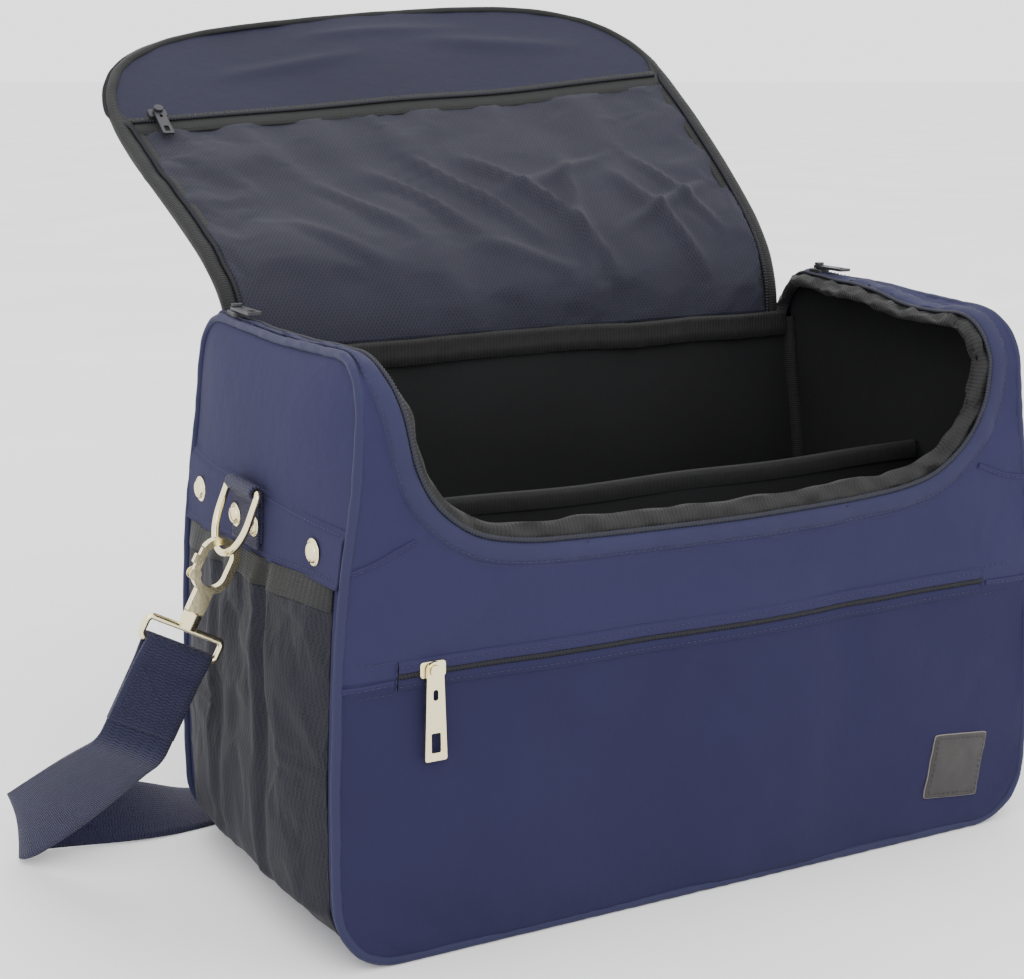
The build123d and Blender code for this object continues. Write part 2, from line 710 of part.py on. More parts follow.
# Middle line of the right half of the strap, from its stitched end to the middle of the back.
# Each place has the direction of the webbing's width: on its edge beside the bag, where it
# turns back, then flat on the ground behind it.
strap_start = hook_face.from_local_coords(Vector(0, LOOP_BOTTOM - STRAP_FOLD, 0))
STRAP_ROUTE = [
    ((284, 17, 87), (0.86, 0.15, 0.49)),
    ((295, 42, 67.5), (0.76, 0.25, 0.60)),
    ((306, 66, 49), (0.60, 0.30, 0.74)),
    ((315, 87, 33.5), (0.38, 0.28, 0.88)),
    ((320.5, 102, 23.5), (0.15, 0.15, 0.98)),
    ((319, 113, 20.2), (0, 0, 1)),
    ((310, 118, 20), (0, 0.05, 1)),
    ((292, 118, 19.8), (-0.03, 0.2, 0.98)),
    ((268, 116.5, 17.8), (-0.06, 0.5, 0.86)),
    ((243, 117, 13.2), (-0.10, 0.8, 0.59)),
    ((214, 123, 6.8), (-0.12, 0.96, 0.25)),
    ((180, 131, 2.4), (-0.10, 0.99, 0.06)),
    ((140, 137, 1.6), (-0.05, 1, 0)),
    ((90, 140, 1.6), (0, 1, 0)),
    ((45, 141, 1.6), (0, 1, 0)),
    ((0, 141.3, 1.6), (0, 1, 0)),
]
strap_places = [strap_start] + [Vector(place) for place, _ in STRAP_ROUTE]
strap_widths = [Vector(cos(tilt), 0, sin(tilt))] + [Vector(wide) for _, wide in STRAP_ROUTE]


def strap_section(index):
    """The webbing's cross-section at one place of its route."""
    before = strap_places[max(index - 1, 0)]
    after = strap_places[min(index + 1, len(strap_places) - 1)]
    along = (after - before).normalized()
    if index == 0:
        along = -hook_face.y_dir
    if index == len(strap_places) - 1:
        along = Vector(-1, 0, 0)
    across = (strap_widths[index] - along * strap_widths[index].dot(along)).normalized()
    thick = STRAP_THICK * (2 if index == 0 else 1)
    with BuildSketch(Plane(strap_places[index], x_dir=across, z_dir=along)) as section:
        Rectangle(STRAP_WIDTH, thick)
    return section.sketch.faces()[0]


with BuildPart() as half_strap:
    loft(sections=[strap_section(index) for index in range(len(strap_places))], ruled=True)
with BuildPart() as shoulder_strap:
    add(half_strap.part)
    mirror(about=Plane.YZ)
finish(shoulder_strap, "shoulder_strap")

runs = [b - a for a, b in zip(strap_places, strap_places[1:])]
print("strap length", round(2 * (STRAP_FOLD + sum(run.length for run in runs))))
for first, second in zip(runs, runs[1:]):
    half_turn = radians(first.get_angle(second) / 2)
    if half_turn > 0:
        print("radius", round(0.45 * min(first.length, second.length) / tan(half_turn)), end=", ")
print()

# The adjuster lies on the webbing behind the bag: a frame with a bar across its middle.
ADJUSTER_X = 60
ADJUSTER_WIRE = 3
with BuildPart() as strap_adjuster:
    with BuildSketch(Plane.XY.offset(3)):
        with Locations((ADJUSTER_X, 140.8)):
            RectangleRounded(30, STRAP_WIDTH + 3 * ADJUSTER_WIRE, 4)
            for shift in (-6.75, 6.75):
                with Locations((shift, 0)):
                    RectangleRounded(10.5, STRAP_WIDTH + ADJUSTER_WIRE, 1.5, mode=Mode.SUBTRACT)
    extrude(amount=2.6)
finish(strap_adjuster, "strap_adjuster")
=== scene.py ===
"""Looks of a soft-sided pet carrier bag with its lid folded back, in metres, in the CAD frame."""

from math import cos, pi, radians, sin, sqrt

import bpy
import numpy as np
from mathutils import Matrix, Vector
from mathutils.kdtree import KDTree


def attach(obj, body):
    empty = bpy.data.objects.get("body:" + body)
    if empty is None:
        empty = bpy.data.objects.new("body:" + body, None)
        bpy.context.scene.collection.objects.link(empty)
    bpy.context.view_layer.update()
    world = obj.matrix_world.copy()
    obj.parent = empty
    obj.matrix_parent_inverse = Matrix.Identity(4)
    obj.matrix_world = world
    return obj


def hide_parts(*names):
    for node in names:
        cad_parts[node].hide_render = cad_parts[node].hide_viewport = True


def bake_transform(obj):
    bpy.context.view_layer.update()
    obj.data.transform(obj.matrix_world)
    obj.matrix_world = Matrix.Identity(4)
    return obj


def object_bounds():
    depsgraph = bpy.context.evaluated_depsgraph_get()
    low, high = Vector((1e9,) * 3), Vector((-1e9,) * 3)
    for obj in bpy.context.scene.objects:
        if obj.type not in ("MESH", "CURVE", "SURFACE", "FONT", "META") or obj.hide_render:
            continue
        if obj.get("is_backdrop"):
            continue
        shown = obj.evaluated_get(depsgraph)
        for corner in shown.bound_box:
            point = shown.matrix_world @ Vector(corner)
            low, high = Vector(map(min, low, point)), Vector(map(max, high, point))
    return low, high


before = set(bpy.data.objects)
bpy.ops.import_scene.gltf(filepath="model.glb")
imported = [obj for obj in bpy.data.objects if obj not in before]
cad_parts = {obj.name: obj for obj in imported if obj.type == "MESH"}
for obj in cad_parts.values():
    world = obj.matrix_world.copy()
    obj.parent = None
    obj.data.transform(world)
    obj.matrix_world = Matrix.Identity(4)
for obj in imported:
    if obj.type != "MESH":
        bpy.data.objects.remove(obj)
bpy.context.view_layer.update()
MM = 0.001

# ---------------------------------------------------------------- camera

YAW, PITCH = radians(28.5), radians(12.7)
eye = Vector((-0.5613, -0.9154, 0.4427))
look = Vector((sin(YAW) * cos(PITCH), cos(YAW) * cos(PITCH), -sin(PITCH)))
camera_data = bpy.data.cameras.new("camera")
camera = bpy.data.objects.new("camera", camera_data)
bpy.context.scene.collection.objects.link(camera)
camera.location = eye
camera.rotation_mode = "QUATERNION"
camera.rotation_quaternion = look.to_track_quat("-Z", "Y")
camera_data.lens = 68.1
camera_data.sensor_width = 36
camera_data.clip_start, camera_data.clip_end = 0.02, 30
bpy.context.scene.camera = camera

# ---------------------------------------------------------------- materials


class Graph:
    """A material's node tree, with short ways to add and join nodes."""

    def __init__(self, name):
        self.material = bpy.data.materials.new(name)
        self.material.use_nodes = True
        self.tree = self.material.node_tree
        self.shader = self.tree.nodes["Principled BSDF"]

    def node(self, kind, inputs=None, **settings):
        made = self.tree.nodes.new("ShaderNode" + kind)
        for key, value in settings.items():
            setattr(made, key, value)
        for key, value in (inputs or {}).items():
            self.put(made.inputs[key], value)
        return made

    def put(self, socket, value):
        if isinstance(value, bpy.types.NodeSocket):
            self.tree.links.new(value, socket)
        else:
            socket.default_value = value

    def math(self, operation, *values):
        made = self.node("Math", operation=operation)
        for socket, value in zip(made.inputs, values):
            self.put(socket, value)
        return made.outputs[0]

    def mix(self, factor, low, high):
        made = self.node("Mix", data_type="RGBA")
        for key, value in ((0, factor), (6, low), (7, high)):
            self.put(made.inputs[key], value)
        return made.outputs[2]

    def noise(self, scale, detail=3, rough=0.55, vector=None):
        vector = vector or self.node("TexCoord").outputs["Object"]
        inputs = {"Scale": scale, "Detail": detail, "Roughness": rough, "Vector": vector}
        return self.node("TexNoise", inputs).outputs[0]

    def ramp(self, factor, low, high):
        return self.node(
            "MapRange", {"Value": factor, "From Min": low, "From Max": high}
        ).outputs[0]

    def bump(self, height, distance, strength=1.0, normal=None):
        inputs = {"Height": height, "Distance": distance, "Strength": strength}
        if normal:
            inputs["Normal"] = normal
        return self.node("Bump", inputs).outputs[0]

    def surface(self):
        """The two coordinates of the cloth's own surface, in metres."""
        flat = self.node("SeparateXYZ", {0: self.node("UVMap", uv_map="cloth").outputs[0]})
        return flat.outputs[0], flat.outputs[1]

    def wave(self, value, pitch):
        turned = self.math("MULTIPLY", value, 2 * pi / pitch)
        return self.math("SINE", turned)

    def done(self, colour, normal=None, rough=0.8, **sockets):
        self.put(self.shader.inputs["Base Color"], colour)
        self.put(self.shader.inputs["Roughness"], rough)
        if normal:
            self.put(self.shader.inputs["Normal"], normal)
        for key, value in sockets.items():
            self.put(self.shader.inputs[key.replace("_", " ")], value)
        return self.material


def shade(colour, factor):
    return tuple(min(1, part * factor) for part in colour[:3]) + (1,)


def woven(name, colour, pitch=0.55, contrast=0.12, rough=0.82, mottle=0.14, sheen=0.015):
    """Plain weave: crossing threads, uneven dye and fine creasing."""
    g = Graph(name)
    u, v = g.surface()
    threads = g.math("MULTIPLY", g.wave(u, pitch * MM), g.wave(v, pitch * MM))
    slubs = g.noise(900, 2)
    cloudy = g.noise(9, 4, 0.6)
    level = g.math("MULTIPLY_ADD", threads, contrast * 0.5, 0.5)
    level = g.math("MULTIPLY_ADD", g.math("SUBTRACT", cloudy, 0.5), 2.4 * mottle, level)
    level = g.math("MULTIPLY_ADD", g.math("SUBTRACT", slubs, 0.5), 0.5 * contrast, level)
    tint = g.mix(level, shade(colour, 0.62), shade(colour, 1.38))
    creases = g.noise(70, 5, 0.62)
    normal = g.bump(creases, 0.0016, 0.5)
    normal = g.bump(threads, 0.00012, 0.3, normal)
    return g.done(tint, normal, rough, Sheen_Weight=sheen, Sheen_Roughness=0.5, Specular_IOR_Level=0.12)


def webbing(name, colour, rib=1.7, rough=0.7):
    """Webbing: ribs across its length that zigzag, with a plainer woven edge."""
    g = Graph(name)
    u, v = g.surface()
    zigzag = g.math("ABSOLUTE", g.math("SUBTRACT", g.math("FRACT", g.math("DIVIDE", u, 0.0045)), 0.5))
    ribs = g.wave(g.math("MULTIPLY_ADD", zigzag, 0.0016, v), rib * MM)
    strands = g.wave(u, 1.1 * MM)
    level = g.math("MULTIPLY_ADD", ribs, 0.22, 0.5)
    level = g.math("MULTIPLY_ADD", strands, 0.1, level)
    level = g.math("MULTIPLY_ADD", g.math("SUBTRACT", g.noise(40, 4), 0.5), 0.35, level)
    normal = g.bump(ribs, 0.0004, 0.8)
    normal = g.bump(strands, 0.00015, 0.6, normal)
    tint = g.mix(level, shade(colour, 0.55), shade(colour, 1.45))
    return g.done(tint, normal, rough, Sheen_Weight=0.05, Specular_IOR_Level=0.3)


def netting(name, hole_shade, thread, pitch, slant=1.0, rough=0.75, zigzag=0.0):
    """Knitted mesh: rows of holes between lighter threads. Nothing is seen through the holes: they are
    painted dark, as painted shade of the cloth behind the net.
    """
    g = Graph(name)
    u, v = g.surface()
    if zigzag:
        bend = g.math("ABSOLUTE", g.math("SUBTRACT", g.math("FRACT", g.math("DIVIDE", v, zigzag)), 0.5))
        u = g.math("MULTIPLY_ADD", bend, zigzag, u)
    first = g.wave(g.math("MULTIPLY_ADD", v, slant, u), pitch)
    second = g.wave(g.math("MULTIPLY_ADD", v, -slant, u), pitch)
    holes = g.math("MULTIPLY", g.math("MULTIPLY_ADD", first, 0.5, 0.5),
        g.math("MULTIPLY_ADD", second, 0.5, 0.5))
    sharp = g.ramp(holes, 0.12, 0.5)
    cloudy = g.noise(16, 4)
    # the holes are painted dark: painted shade of the cloth seen through the net
    tint = g.mix(sharp, thread, hole_shade)
    tint = g.mix(g.ramp(cloudy, 0.3, 0.7), tint, g.mix(0.3, tint, shade(thread, 1.3)))
    normal = g.bump(g.noise(45, 4), 0.0015, 0.35)
    normal = g.bump(sharp, 0.0003, 0.5, normal)
    return g.done(tint, normal, rough, Sheen_Weight=0.03, Specular_IOR_Level=0.25)


def lining(name, colour, rough=0.9, sheen=0.03):
    """Soft brushed lining."""
    g = Graph(name)
    fibres = g.noise(1400, 2)
    cloudy = g.noise(12, 5, 0.6)
    level = g.math("MULTIPLY_ADD", fibres, 0.4, g.math("MULTIPLY", cloudy, 0.6))
    tint = g.mix(level, shade(colour, 0.6), shade(colour, 1.5))
    normal = g.bump(g.noise(60, 5), 0.0015, 0.4)
    normal = g.bump(fibres, 0.0002, 0.3, normal)
    return g.done(tint, normal, rough, Sheen_Weight=sheen, Specular_IOR_Level=0.2)


def tape(name, colour, rough=0.68, pitch=1.3):
    """Grosgrain tape with fine ribs across it."""
    g = Graph(name)
    u, v = g.surface()
    ribs = g.wave(v, pitch * MM)
    level = g.math("MULTIPLY_ADD", ribs, 0.2, 0.5)
    level = g.math("MULTIPLY_ADD", g.math("SUBTRACT", g.noise(120, 4), 0.5), 0.7, level)
    tint = g.mix(level, shade(colour, 0.5), shade(colour, 1.55))
    normal = g.bump(ribs, 0.0002, 0.6)
    normal = g.bump(g.noise(150, 3), 0.0008, 0.4, normal)
    return g.done(tint, normal, rough, Sheen_Weight=0.04, Specular_IOR_Level=0.25)


def metal(name, colour, rough=0.22, metallic=1.0):
    """Plated or painted casting, a little scuffed."""
    g = Graph(name)
    scuffs = g.noise(260, 6, 0.7)
    dull = g.node("MapRange", {"Value": scuffs, "To Min": rough * 0.7, "To Max": rough * 1.7}).outputs[0]
    tint = g.mix(g.noise(30, 3), shade(colour, 0.86), shade(colour, 1.1))
    normal = g.bump(g.noise(480, 4), 0.00012, 0.35)
    return g.done(tint, normal, dull, Metallic=metallic)


def leather(name, colour):
    g = Graph(name)
    coords = g.node("TexCoord").outputs["Object"]
    grain = g.node("TexVoronoi", {"Scale": 900.0, "Vector": coords}).outputs["Distance"]
    wear = g.noise(70, 5, 0.65)
    tint = g.mix(g.ramp(wear, 0.3, 0.75), shade(colour, 0.75), shade(colour, 1.35))
    normal = g.bump(grain, 0.0002, 0.5)
    normal = g.bump(wear, 0.0009, 0.3, normal)
    return g.done(tint, normal, 0.55)


def plain(name, colour, rough, scale=300.0, **sockets):
    g = Graph(name)
    grain = g.noise(scale, 4)
    tint = g.mix(grain, shade(colour, 0.85), shade(colour, 1.15))
    return g.done(tint, g.bump(grain, 0.0001, 0.3), rough, **sockets)


NAVY = (0.0215, 0.0205, 0.0570)
navy_cloth = woven("navy_cloth", NAVY)
navy_lower = woven("navy_cloth_lower", (0.0165, 0.0157, 0.0460))
navy_lining_cloth = woven("navy_flap_lining", (0.0165, 0.0168, 0.033), mottle=0.2, rough=0.7)
piping_cloth = woven("navy_piping", (0.021, 0.0215, 0.055), rough=0.55, sheen=0.02)
rim_cloth = woven("navy_rim", (0.0225, 0.023, 0.056), rough=0.7, mottle=0.25)
navy_webbing = webbing("navy_webbing", (0.0128, 0.013, 0.041))
black_lining = lining("black_lining", (0.0078, 0.0081, 0.0088))
divider_tape = tape("divider_tape", (0.0062, 0.0064, 0.0068), pitch=0.9)
lid_tape = tape("lid_tape", (0.0058, 0.006, 0.0066), pitch=1.6)
black_tape = tape("black_tape", (0.0085, 0.0088, 0.0092))
ruffle_tape = tape("ruffle_tape", (0.0105, 0.0108, 0.0105), pitch=2.2)
# the nets' threads have their own colours; their hole colours are painted shade, standing for the shaded
# cloth seen through them
end_net = netting("end_net", (0.0014, 0.0015, 0.0030, 1), (0.0072, 0.0072, 0.0145, 1), 0.0034, 0.9,
    zigzag=0.006)
lid_net = netting("lid_net", (0.0055, 0.0058, 0.0105, 1), (0.0128, 0.0132, 0.0250, 1), 0.0024, 0.7)
gold = metal("pale_gold", (0.88, 0.78, 0.48), 0.17)
dark_metal = metal("dark_metal", (0.05, 0.05, 0.055), 0.4, 0.8)
patch_skin = leather("patch_leather", (0.0170, 0.0145, 0.0142))
patch_edge = plain("patch_edge", (0.16, 0.14, 0.125), 0.6)
coil_dark = plain("coil_dark", (0.0055, 0.0056, 0.0095), 0.55, Specular_IOR_Level=0.25)
coil_navy = plain("coil_navy", (0.011, 0.0113, 0.020), 0.55, Specular_IOR_Level=0.3)
thread_navy = plain("thread_navy", (0.026, 0.0265, 0.062), 0.6)
thread_black = plain("thread_black", (0.013, 0.0135, 0.013), 0.6)
board = plain("board", (0.012, 0.012, 0.012), 0.8)
plastic = plain("adjuster_plastic", (0.018, 0.018, 0.022), 0.35, 600.0)

# ---------------------------------------------------------------- mesh helpers


def piece(name, points, faces, material, body, slot=None, uv=None, thickness=0.0, offset=-1.0, replaces=()):
    """A smooth mesh piece that rides on a body (or on none yet, where body is None)."""
    mesh = bpy.data.meshes.new(name)
    mesh.from_pydata([tuple(p) for p in np.asarray(points, float)], [], [tuple(map(int, f)) for f in faces])
    mesh.validate()
    mesh.update()
    mesh.materials.append(material)
    mesh.polygons.foreach_set("use_smooth", [True] * len(mesh.polygons))
    if uv is not None:
        layer = mesh.uv_layers.new(name="cloth")
        loops = np.empty(len(mesh.loops), np.int32)
        mesh.loops.foreach_get("vertex_index", loops)
        layer.data.foreach_set("uv", np.asarray(uv, np.float32)[loops].ravel())
    made = bpy.data.objects.new(name, mesh)
    bpy.context.scene.collection.objects.link(made)
    if thickness:
        solid = made.modifiers.new("thickness", "SOLIDIFY")
        solid.thickness = thickness
        solid.offset = offset
    if body:
        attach(made, body)
    for node in replaces:
        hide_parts(node)
    return made


def quads(rows, columns, close_rows=False, close_columns=False):
    """Faces of a grid of rows x columns points."""
    faces = []
    for i in range(rows if close_rows else rows - 1):
        for j in range(columns if close_columns else columns - 1):
            k, m = (i + 1) % rows, (j + 1) % columns
            faces.append((i * columns + j, i * columns + m, k * columns + m, k * columns + j))
    return faces


def turned(points, faces, toward):
    """Faces turned to look outwards from the bag, inwards, or along a direction."""
    p = np.asarray(points, float).reshape(-1, 3)
    sample = np.array([f[:4] if len(f) > 3 else (*f, f[-1]) for f in faces[:: max(1, len(faces) // 4000)]])
    a, b, c, d = (p[sample[:, k]] for k in range(4))
    normal = np.cross(c - a, d - b)
    if toward in ("out", "in"):
        middle = (a + b + c + d) / 4
        wanted = middle - np.array([0, 0, 0.14])
        wanted[:, 0] *= 0.55
        wanted = wanted * (1 if toward == "out" else -1)
    else:
        wanted = np.repeat([toward], len(a), 0)
    return [f[::-1] for f in faces] if (normal * wanted).sum() < 0 else faces


def lengths(points):
    """Distance run along a line of points."""
    run = np.linalg.norm(np.diff(points, axis=0), axis=1)
    return np.concatenate([[0], np.cumsum(run)])


def grid_uv(grid):
    """Flat coordinates in metres for a grid of points."""
    across = np.concatenate([[0], np.cumsum(np.linalg.norm(np.diff(grid.mean(0), axis=0), axis=1))])
    along = np.concatenate([[0], np.cumsum(np.linalg.norm(np.diff(grid.mean(1), axis=0), axis=1))])
    if across[-1] < 1e-6:
        across = np.linspace(0, 0.01, grid.shape[1])
    u, v = np.meshgrid(across, along)
    return np.stack([u.ravel(), v.ravel()], 1)


def grid_piece(name, grid, material, body, close_rows=False, close_columns=False, toward=None, uv=None,
    **more):
    """A piece from a grid of points, rows x columns x 3."""
    rows, columns = grid.shape[:2]
    faces = quads(rows, columns, close_rows, close_columns)
    if toward is not None:
        faces = turned(grid, faces, toward)
    if uv is None:
        uv = grid_uv(grid)
    return piece(name, grid.reshape(-1, 3), faces, material, body, uv=uv, **more)


def unit(v):
    return v / np.maximum(np.linalg.norm(v, axis=-1, keepdims=True), 1e-12)


def along(points, closed=False):
    """Directions along a line of points."""
    if closed:
        return unit(np.roll(points, -1, 0) - np.roll(points, 1, 0))
    return unit(np.gradient(points, axis=0))


def sweep(path, normal, profile, closed=False):
    """Grid of a profile carried along a path. Profile rows are (side, up) pairs in metres."""
    t = along(path, closed)
    n = unit(normal - (normal * t).sum(1, keepdims=True) * t)
    side = np.cross(t, n)
    profile = np.asarray(profile, float)
    if profile.ndim == 2:
        profile = np.repeat(profile[None], len(path), 0)
    return path[:, None] + side[:, None] * profile[:, :, :1] + n[:, None] * profile[:, :, 1:]


def circle(radius, sides, squash=1.0):
    turn = np.linspace(0, 2 * pi, sides, endpoint=False)
    return np.stack([radius * np.cos(turn), squash * radius * np.sin(turn)], 1)


def smooth_line(points, step):
    """Points at even steps along a rounded line through given points."""
    p = np.asarray(points, float)
    ends = np.vstack([2 * p[0] - p[1], p, 2 * p[-1] - p[-2]])
    out = []
    for a, b, c, d in zip(ends, ends[1:], ends[2:], ends[3:]):
        for t in np.linspace(0, 1, 12, endpoint=False):
            out.append(0.5 * (2 * b + (c - a) * t + (2 * a - 5 * b + 4 * c - d) * t**2 + (3 * b - a - 3 * c
                + d) * t**3))
    out = np.array(out + [p[-1]])
    run = lengths(out)
    count = max(2, int(run[-1] / step))
    even = np.linspace(0, run[-1], count + 1)
    return np.stack([np.interp(even, run, out[:, k]) for k in range(p.shape[1])], 1)


RIPPLE_WAVES = 9


def ripple(points, wavelength, seed):
    """Smooth repeatable unevenness, about -1 to 1."""
    draw = np.random.RandomState(seed)
    p = np.asarray(points, float)
    total = np.zeros(p.shape[:-1])
    for _ in range(RIPPLE_WAVES):
        direction = unit(draw.normal(size=3))
        size = wavelength * draw.uniform(0.7, 1.6)
        total += np.sin(p @ direction * 2 * pi / size + draw.uniform(0, 2 * pi))
    return total / sqrt(RIPPLE_WAVES)


def ridge(a, b, p, width, height):
    """A fold that runs from a to b over flat coordinates p, tapering to nothing at both ends."""
    a, b = np.asarray(a, float), np.asarray(b, float)
    d = b - a
    t = np.clip(((p - a) @ d) / (d @ d), 0, 1)
    away = np.linalg.norm(p - (a + t[..., None] * d), axis=-1)
    return height * np.exp(-((away / width) ** 2)) * np.sin(np.clip(t, 0.02, 0.98) * pi) ** 0.7


STITCH_LIFT = 0.0002


def stitches(path, normal, pitch, size):
    """Points and faces of a row of raised stitches along a path."""
    run = lengths(path)
    count = max(1, int(run[-1] / pitch))
    points, faces = [], []
    at = (np.arange(count) + 0.5) * run[-1] / count
    mid = np.stack([np.interp(at, run, path[:, k]) for k in range(3)], 1)
    up = unit(np.stack([np.interp(at, run, normal[:, k]) for k in range(3)], 1))
    way = np.stack([np.interp(at, run, along(path)[:, k]) for k in range(3)], 1)
    way = unit(way - (way * up).sum(1, keepdims=True) * up)
    side = np.cross(way, up)
    half, width, high = size[0] / 2, size[1] / 2, size[2]
    shape = [(-1, 0, -0.3), (-0.7, 1, 0.1), (-0.7, -1, 0.1), (-0.7, 0, 1), (0.7, 1, 0.1), (0.7, -1, 0.1),
        (0.7, 0, 1), (1, 0, -0.3)]
    cell = [(0, 1, 3), (0, 3, 2), (1, 4, 6, 3), (3, 6, 5, 2), (7, 6, 4), (7, 5, 6), (0, 2, 5, 7),
        (0, 7, 4, 1)]
    for m, w, s, n in zip(mid, way, side, up):
        base = len(points)
        for x, y, z in shape:
            points.append(m + w * x * half + s * y * width + n * (z * high + STITCH_LIFT))
        faces += [tuple(base + k for k in f) for f in cell]
    return points, faces


def stitch_piece(name, rows, pitch, size, material, body, slot):
    """Several rows of stitches as one piece. Rows are (path, normals)."""
    points, faces = [], []
    for path, normal in rows:
        more, cells = stitches(path, normal, pitch, size)
        faces += [tuple(len(points) + k for k in f) for f in cells]
        points += more
    return piece(name, points, faces, material, body, slot=slot)


CLOTH_TENSION, CLOTH_STIFFNESS = 15.0, 0.05


def settle(made, pinned, shrink=-0.02, pressure=0.0, frames=18, cap=0.006, inward=None):
    """Cloth simulation of an open or closed piece, held at its pinned points, with its result applied.

    A negative shrink makes the cloth grow, so that it buckles between its pins, and pressure fills a pad.
    There is no gravity and there are no collisions.
    No point moves further than cap, and where inward is given, hardly further than that
    into what lies behind."""
    scene = bpy.context.scene
    count = len(made.data.vertices)
    group = made.vertex_groups.new(name="pinned")
    for index in np.nonzero(pinned)[0]:
        group.add([int(index)], 1.0, "REPLACE")
    start = np.empty(count * 3, np.float32)
    made.data.vertices.foreach_get("co", start)
    shown = [m for m in made.modifiers]
    for modifier in shown:
        modifier.show_viewport = False
    cloth = made.modifiers.new("cloth", "CLOTH")
    settings = cloth.settings
    settings.quality = 5
    settings.mass = 0.2
    settings.vertex_group_mass = "pinned"
    settings.tension_stiffness = settings.compression_stiffness = CLOTH_TENSION
    settings.shear_stiffness = CLOTH_TENSION / 3
    settings.bending_stiffness = CLOTH_STIFFNESS
    settings.shrink_min = shrink
    settings.effector_weights.gravity = 0
    if pressure:
        settings.use_pressure = True
        settings.uniform_pressure_force = pressure
    cloth.collision_settings.use_collision = False
    cloth.point_cache.frame_start, cloth.point_cache.frame_end = 1, frames
    for number in range(1, frames + 1):
        scene.frame_set(number)
    graph = bpy.context.evaluated_depsgraph_get()
    result = made.evaluated_get(graph)
    end = np.empty(count * 3, np.float32)
    result.data.vertices.foreach_get("co", end)
    made.modifiers.remove(cloth)
    for modifier in shown:
        modifier.show_viewport = True
    scene.frame_set(1)
    start, end = start.reshape(-1, 3), end.reshape(-1, 3)
    move = np.nan_to_num(end - start)
    far = np.linalg.norm(move, axis=1, keepdims=True)
    move *= np.minimum(1, cap / np.maximum(far, 1e-9))
    if inward:
        out = np.empty(count * 3, np.float32)
        made.data.vertices.foreach_get("normal", out)
        out = out.reshape(-1, 3)
        deep = np.minimum((move * out).sum(1, keepdims=True), 0)
        move += out * (-inward * (1 - np.exp(deep / inward)) - deep)
    made.data.vertices.foreach_set("co", (start + move).astype(np.float32).ravel())
    made.data.update()
    made.vertex_groups.clear()
    return made

# ---------------------------------------------------------------- the bag's shape

SEAM_Z = np.array([0, 30, 60, 95, 140, 175, 200, 222, 245, 265, 290, 306]) * MM
SEAM_X = np.array([217, 218.5, 219, 218.5, 217, 215, 212.5, 209.5, 206, 204, 201.5, 200]) * MM
HALF_DEPTH, TOP, ROUND = 0.108, 0.306, 0.032
UPRIGHT = TOP - ROUND
ARC = ROUND * pi / 2
FLAT = 2 * (HALF_DEPTH - ROUND)
WRAP = 2 * (UPRIGHT + ARC) + FLAT
BACK_CORNER = WRAP - UPRIGHT
SEAM_Y = 0.1065
FOOT = 0.0325  # radius of the lower corners
FOOT_X, FOOT_Z = 0.186, 0.0345
WALL = 0.006


def seam_x(z):
    """Half length of the bag at its front and back seams."""
    return np.interp(z, SEAM_Z, SEAM_X)


def cad_end_x(z):
    return 0.220 - 0.009 / 0.206 * np.maximum(0, z - 0.1)


def profile(s):
    """Where the wrap's cloth runs, front to back, and which way it faces."""
    s = np.asarray(s, float)
    turn = np.clip((s - UPRIGHT) / ROUND, 0, pi / 2) + np.clip((s - UPRIGHT - ARC - FLAT) / ROUND, 0, pi / 2)
    ny, nz = -np.cos(turn), np.sin(turn)
    centre = -HALF_DEPTH + ROUND + np.clip(s - UPRIGHT - ARC, 0, FLAT)
    z = UPRIGHT + ROUND * nz - np.maximum(0, UPRIGHT - s) - np.maximum(0, s - BACK_CORNER)
    return centre + ROUND * ny, z, ny, nz


def warp(p):
    """The lean and sag of the empty bag: its front right corner falls back, its top sinks."""
    p = np.array(p, float)
    rise = np.clip(p[..., 2] / TOP, 0, 1.05)
    fore = np.clip(-p[..., 1] / HALF_DEPTH, 0, 1)
    side = np.clip(p[..., 0] / 0.2, -1, 1)
    p[..., 1] += MM * fore * rise**2 * (0.5 + 4.5 * side)
    middle = 1 - np.clip(np.abs(p[..., 1]) / 0.108, 0, 1) ** 2
    drop = np.clip((0.207 - p[..., 0]) / 0.03, 0, 1) * np.clip(side, 0,
        1) * np.exp(-(((p[..., 1] + 0.045) / 0.05) ** 2))
    p[..., 2] -= MM * rise**8 * (fore * (1.5 + 3 * side) + middle * (2 - 2 * side) + 7 * drop)
    return p


settled = {}


def carry(x, s):
    """How far the simulated cloth moved at flat places, for what is sewn to it."""
    if not settled:
        return 0.0
    flat = np.stack([x.ravel(), s.ravel()], 1)
    moves = np.empty((len(flat), 3))
    for n, (px, ps) in enumerate(flat):
        total, weight, nearest = np.zeros(3), 0.0, 1.0
        for _, index, gap in settled["tree"].find_n((px, ps, 0), 10):
            share = 1 / (gap * gap + 2e-5)
            total += settled["move"][index] * share
            weight += share
            nearest = min(nearest, gap)
        moves[n] = total / weight * max(0.0, 1 - nearest / 0.02)
    return moves.reshape(*x.shape, 3)


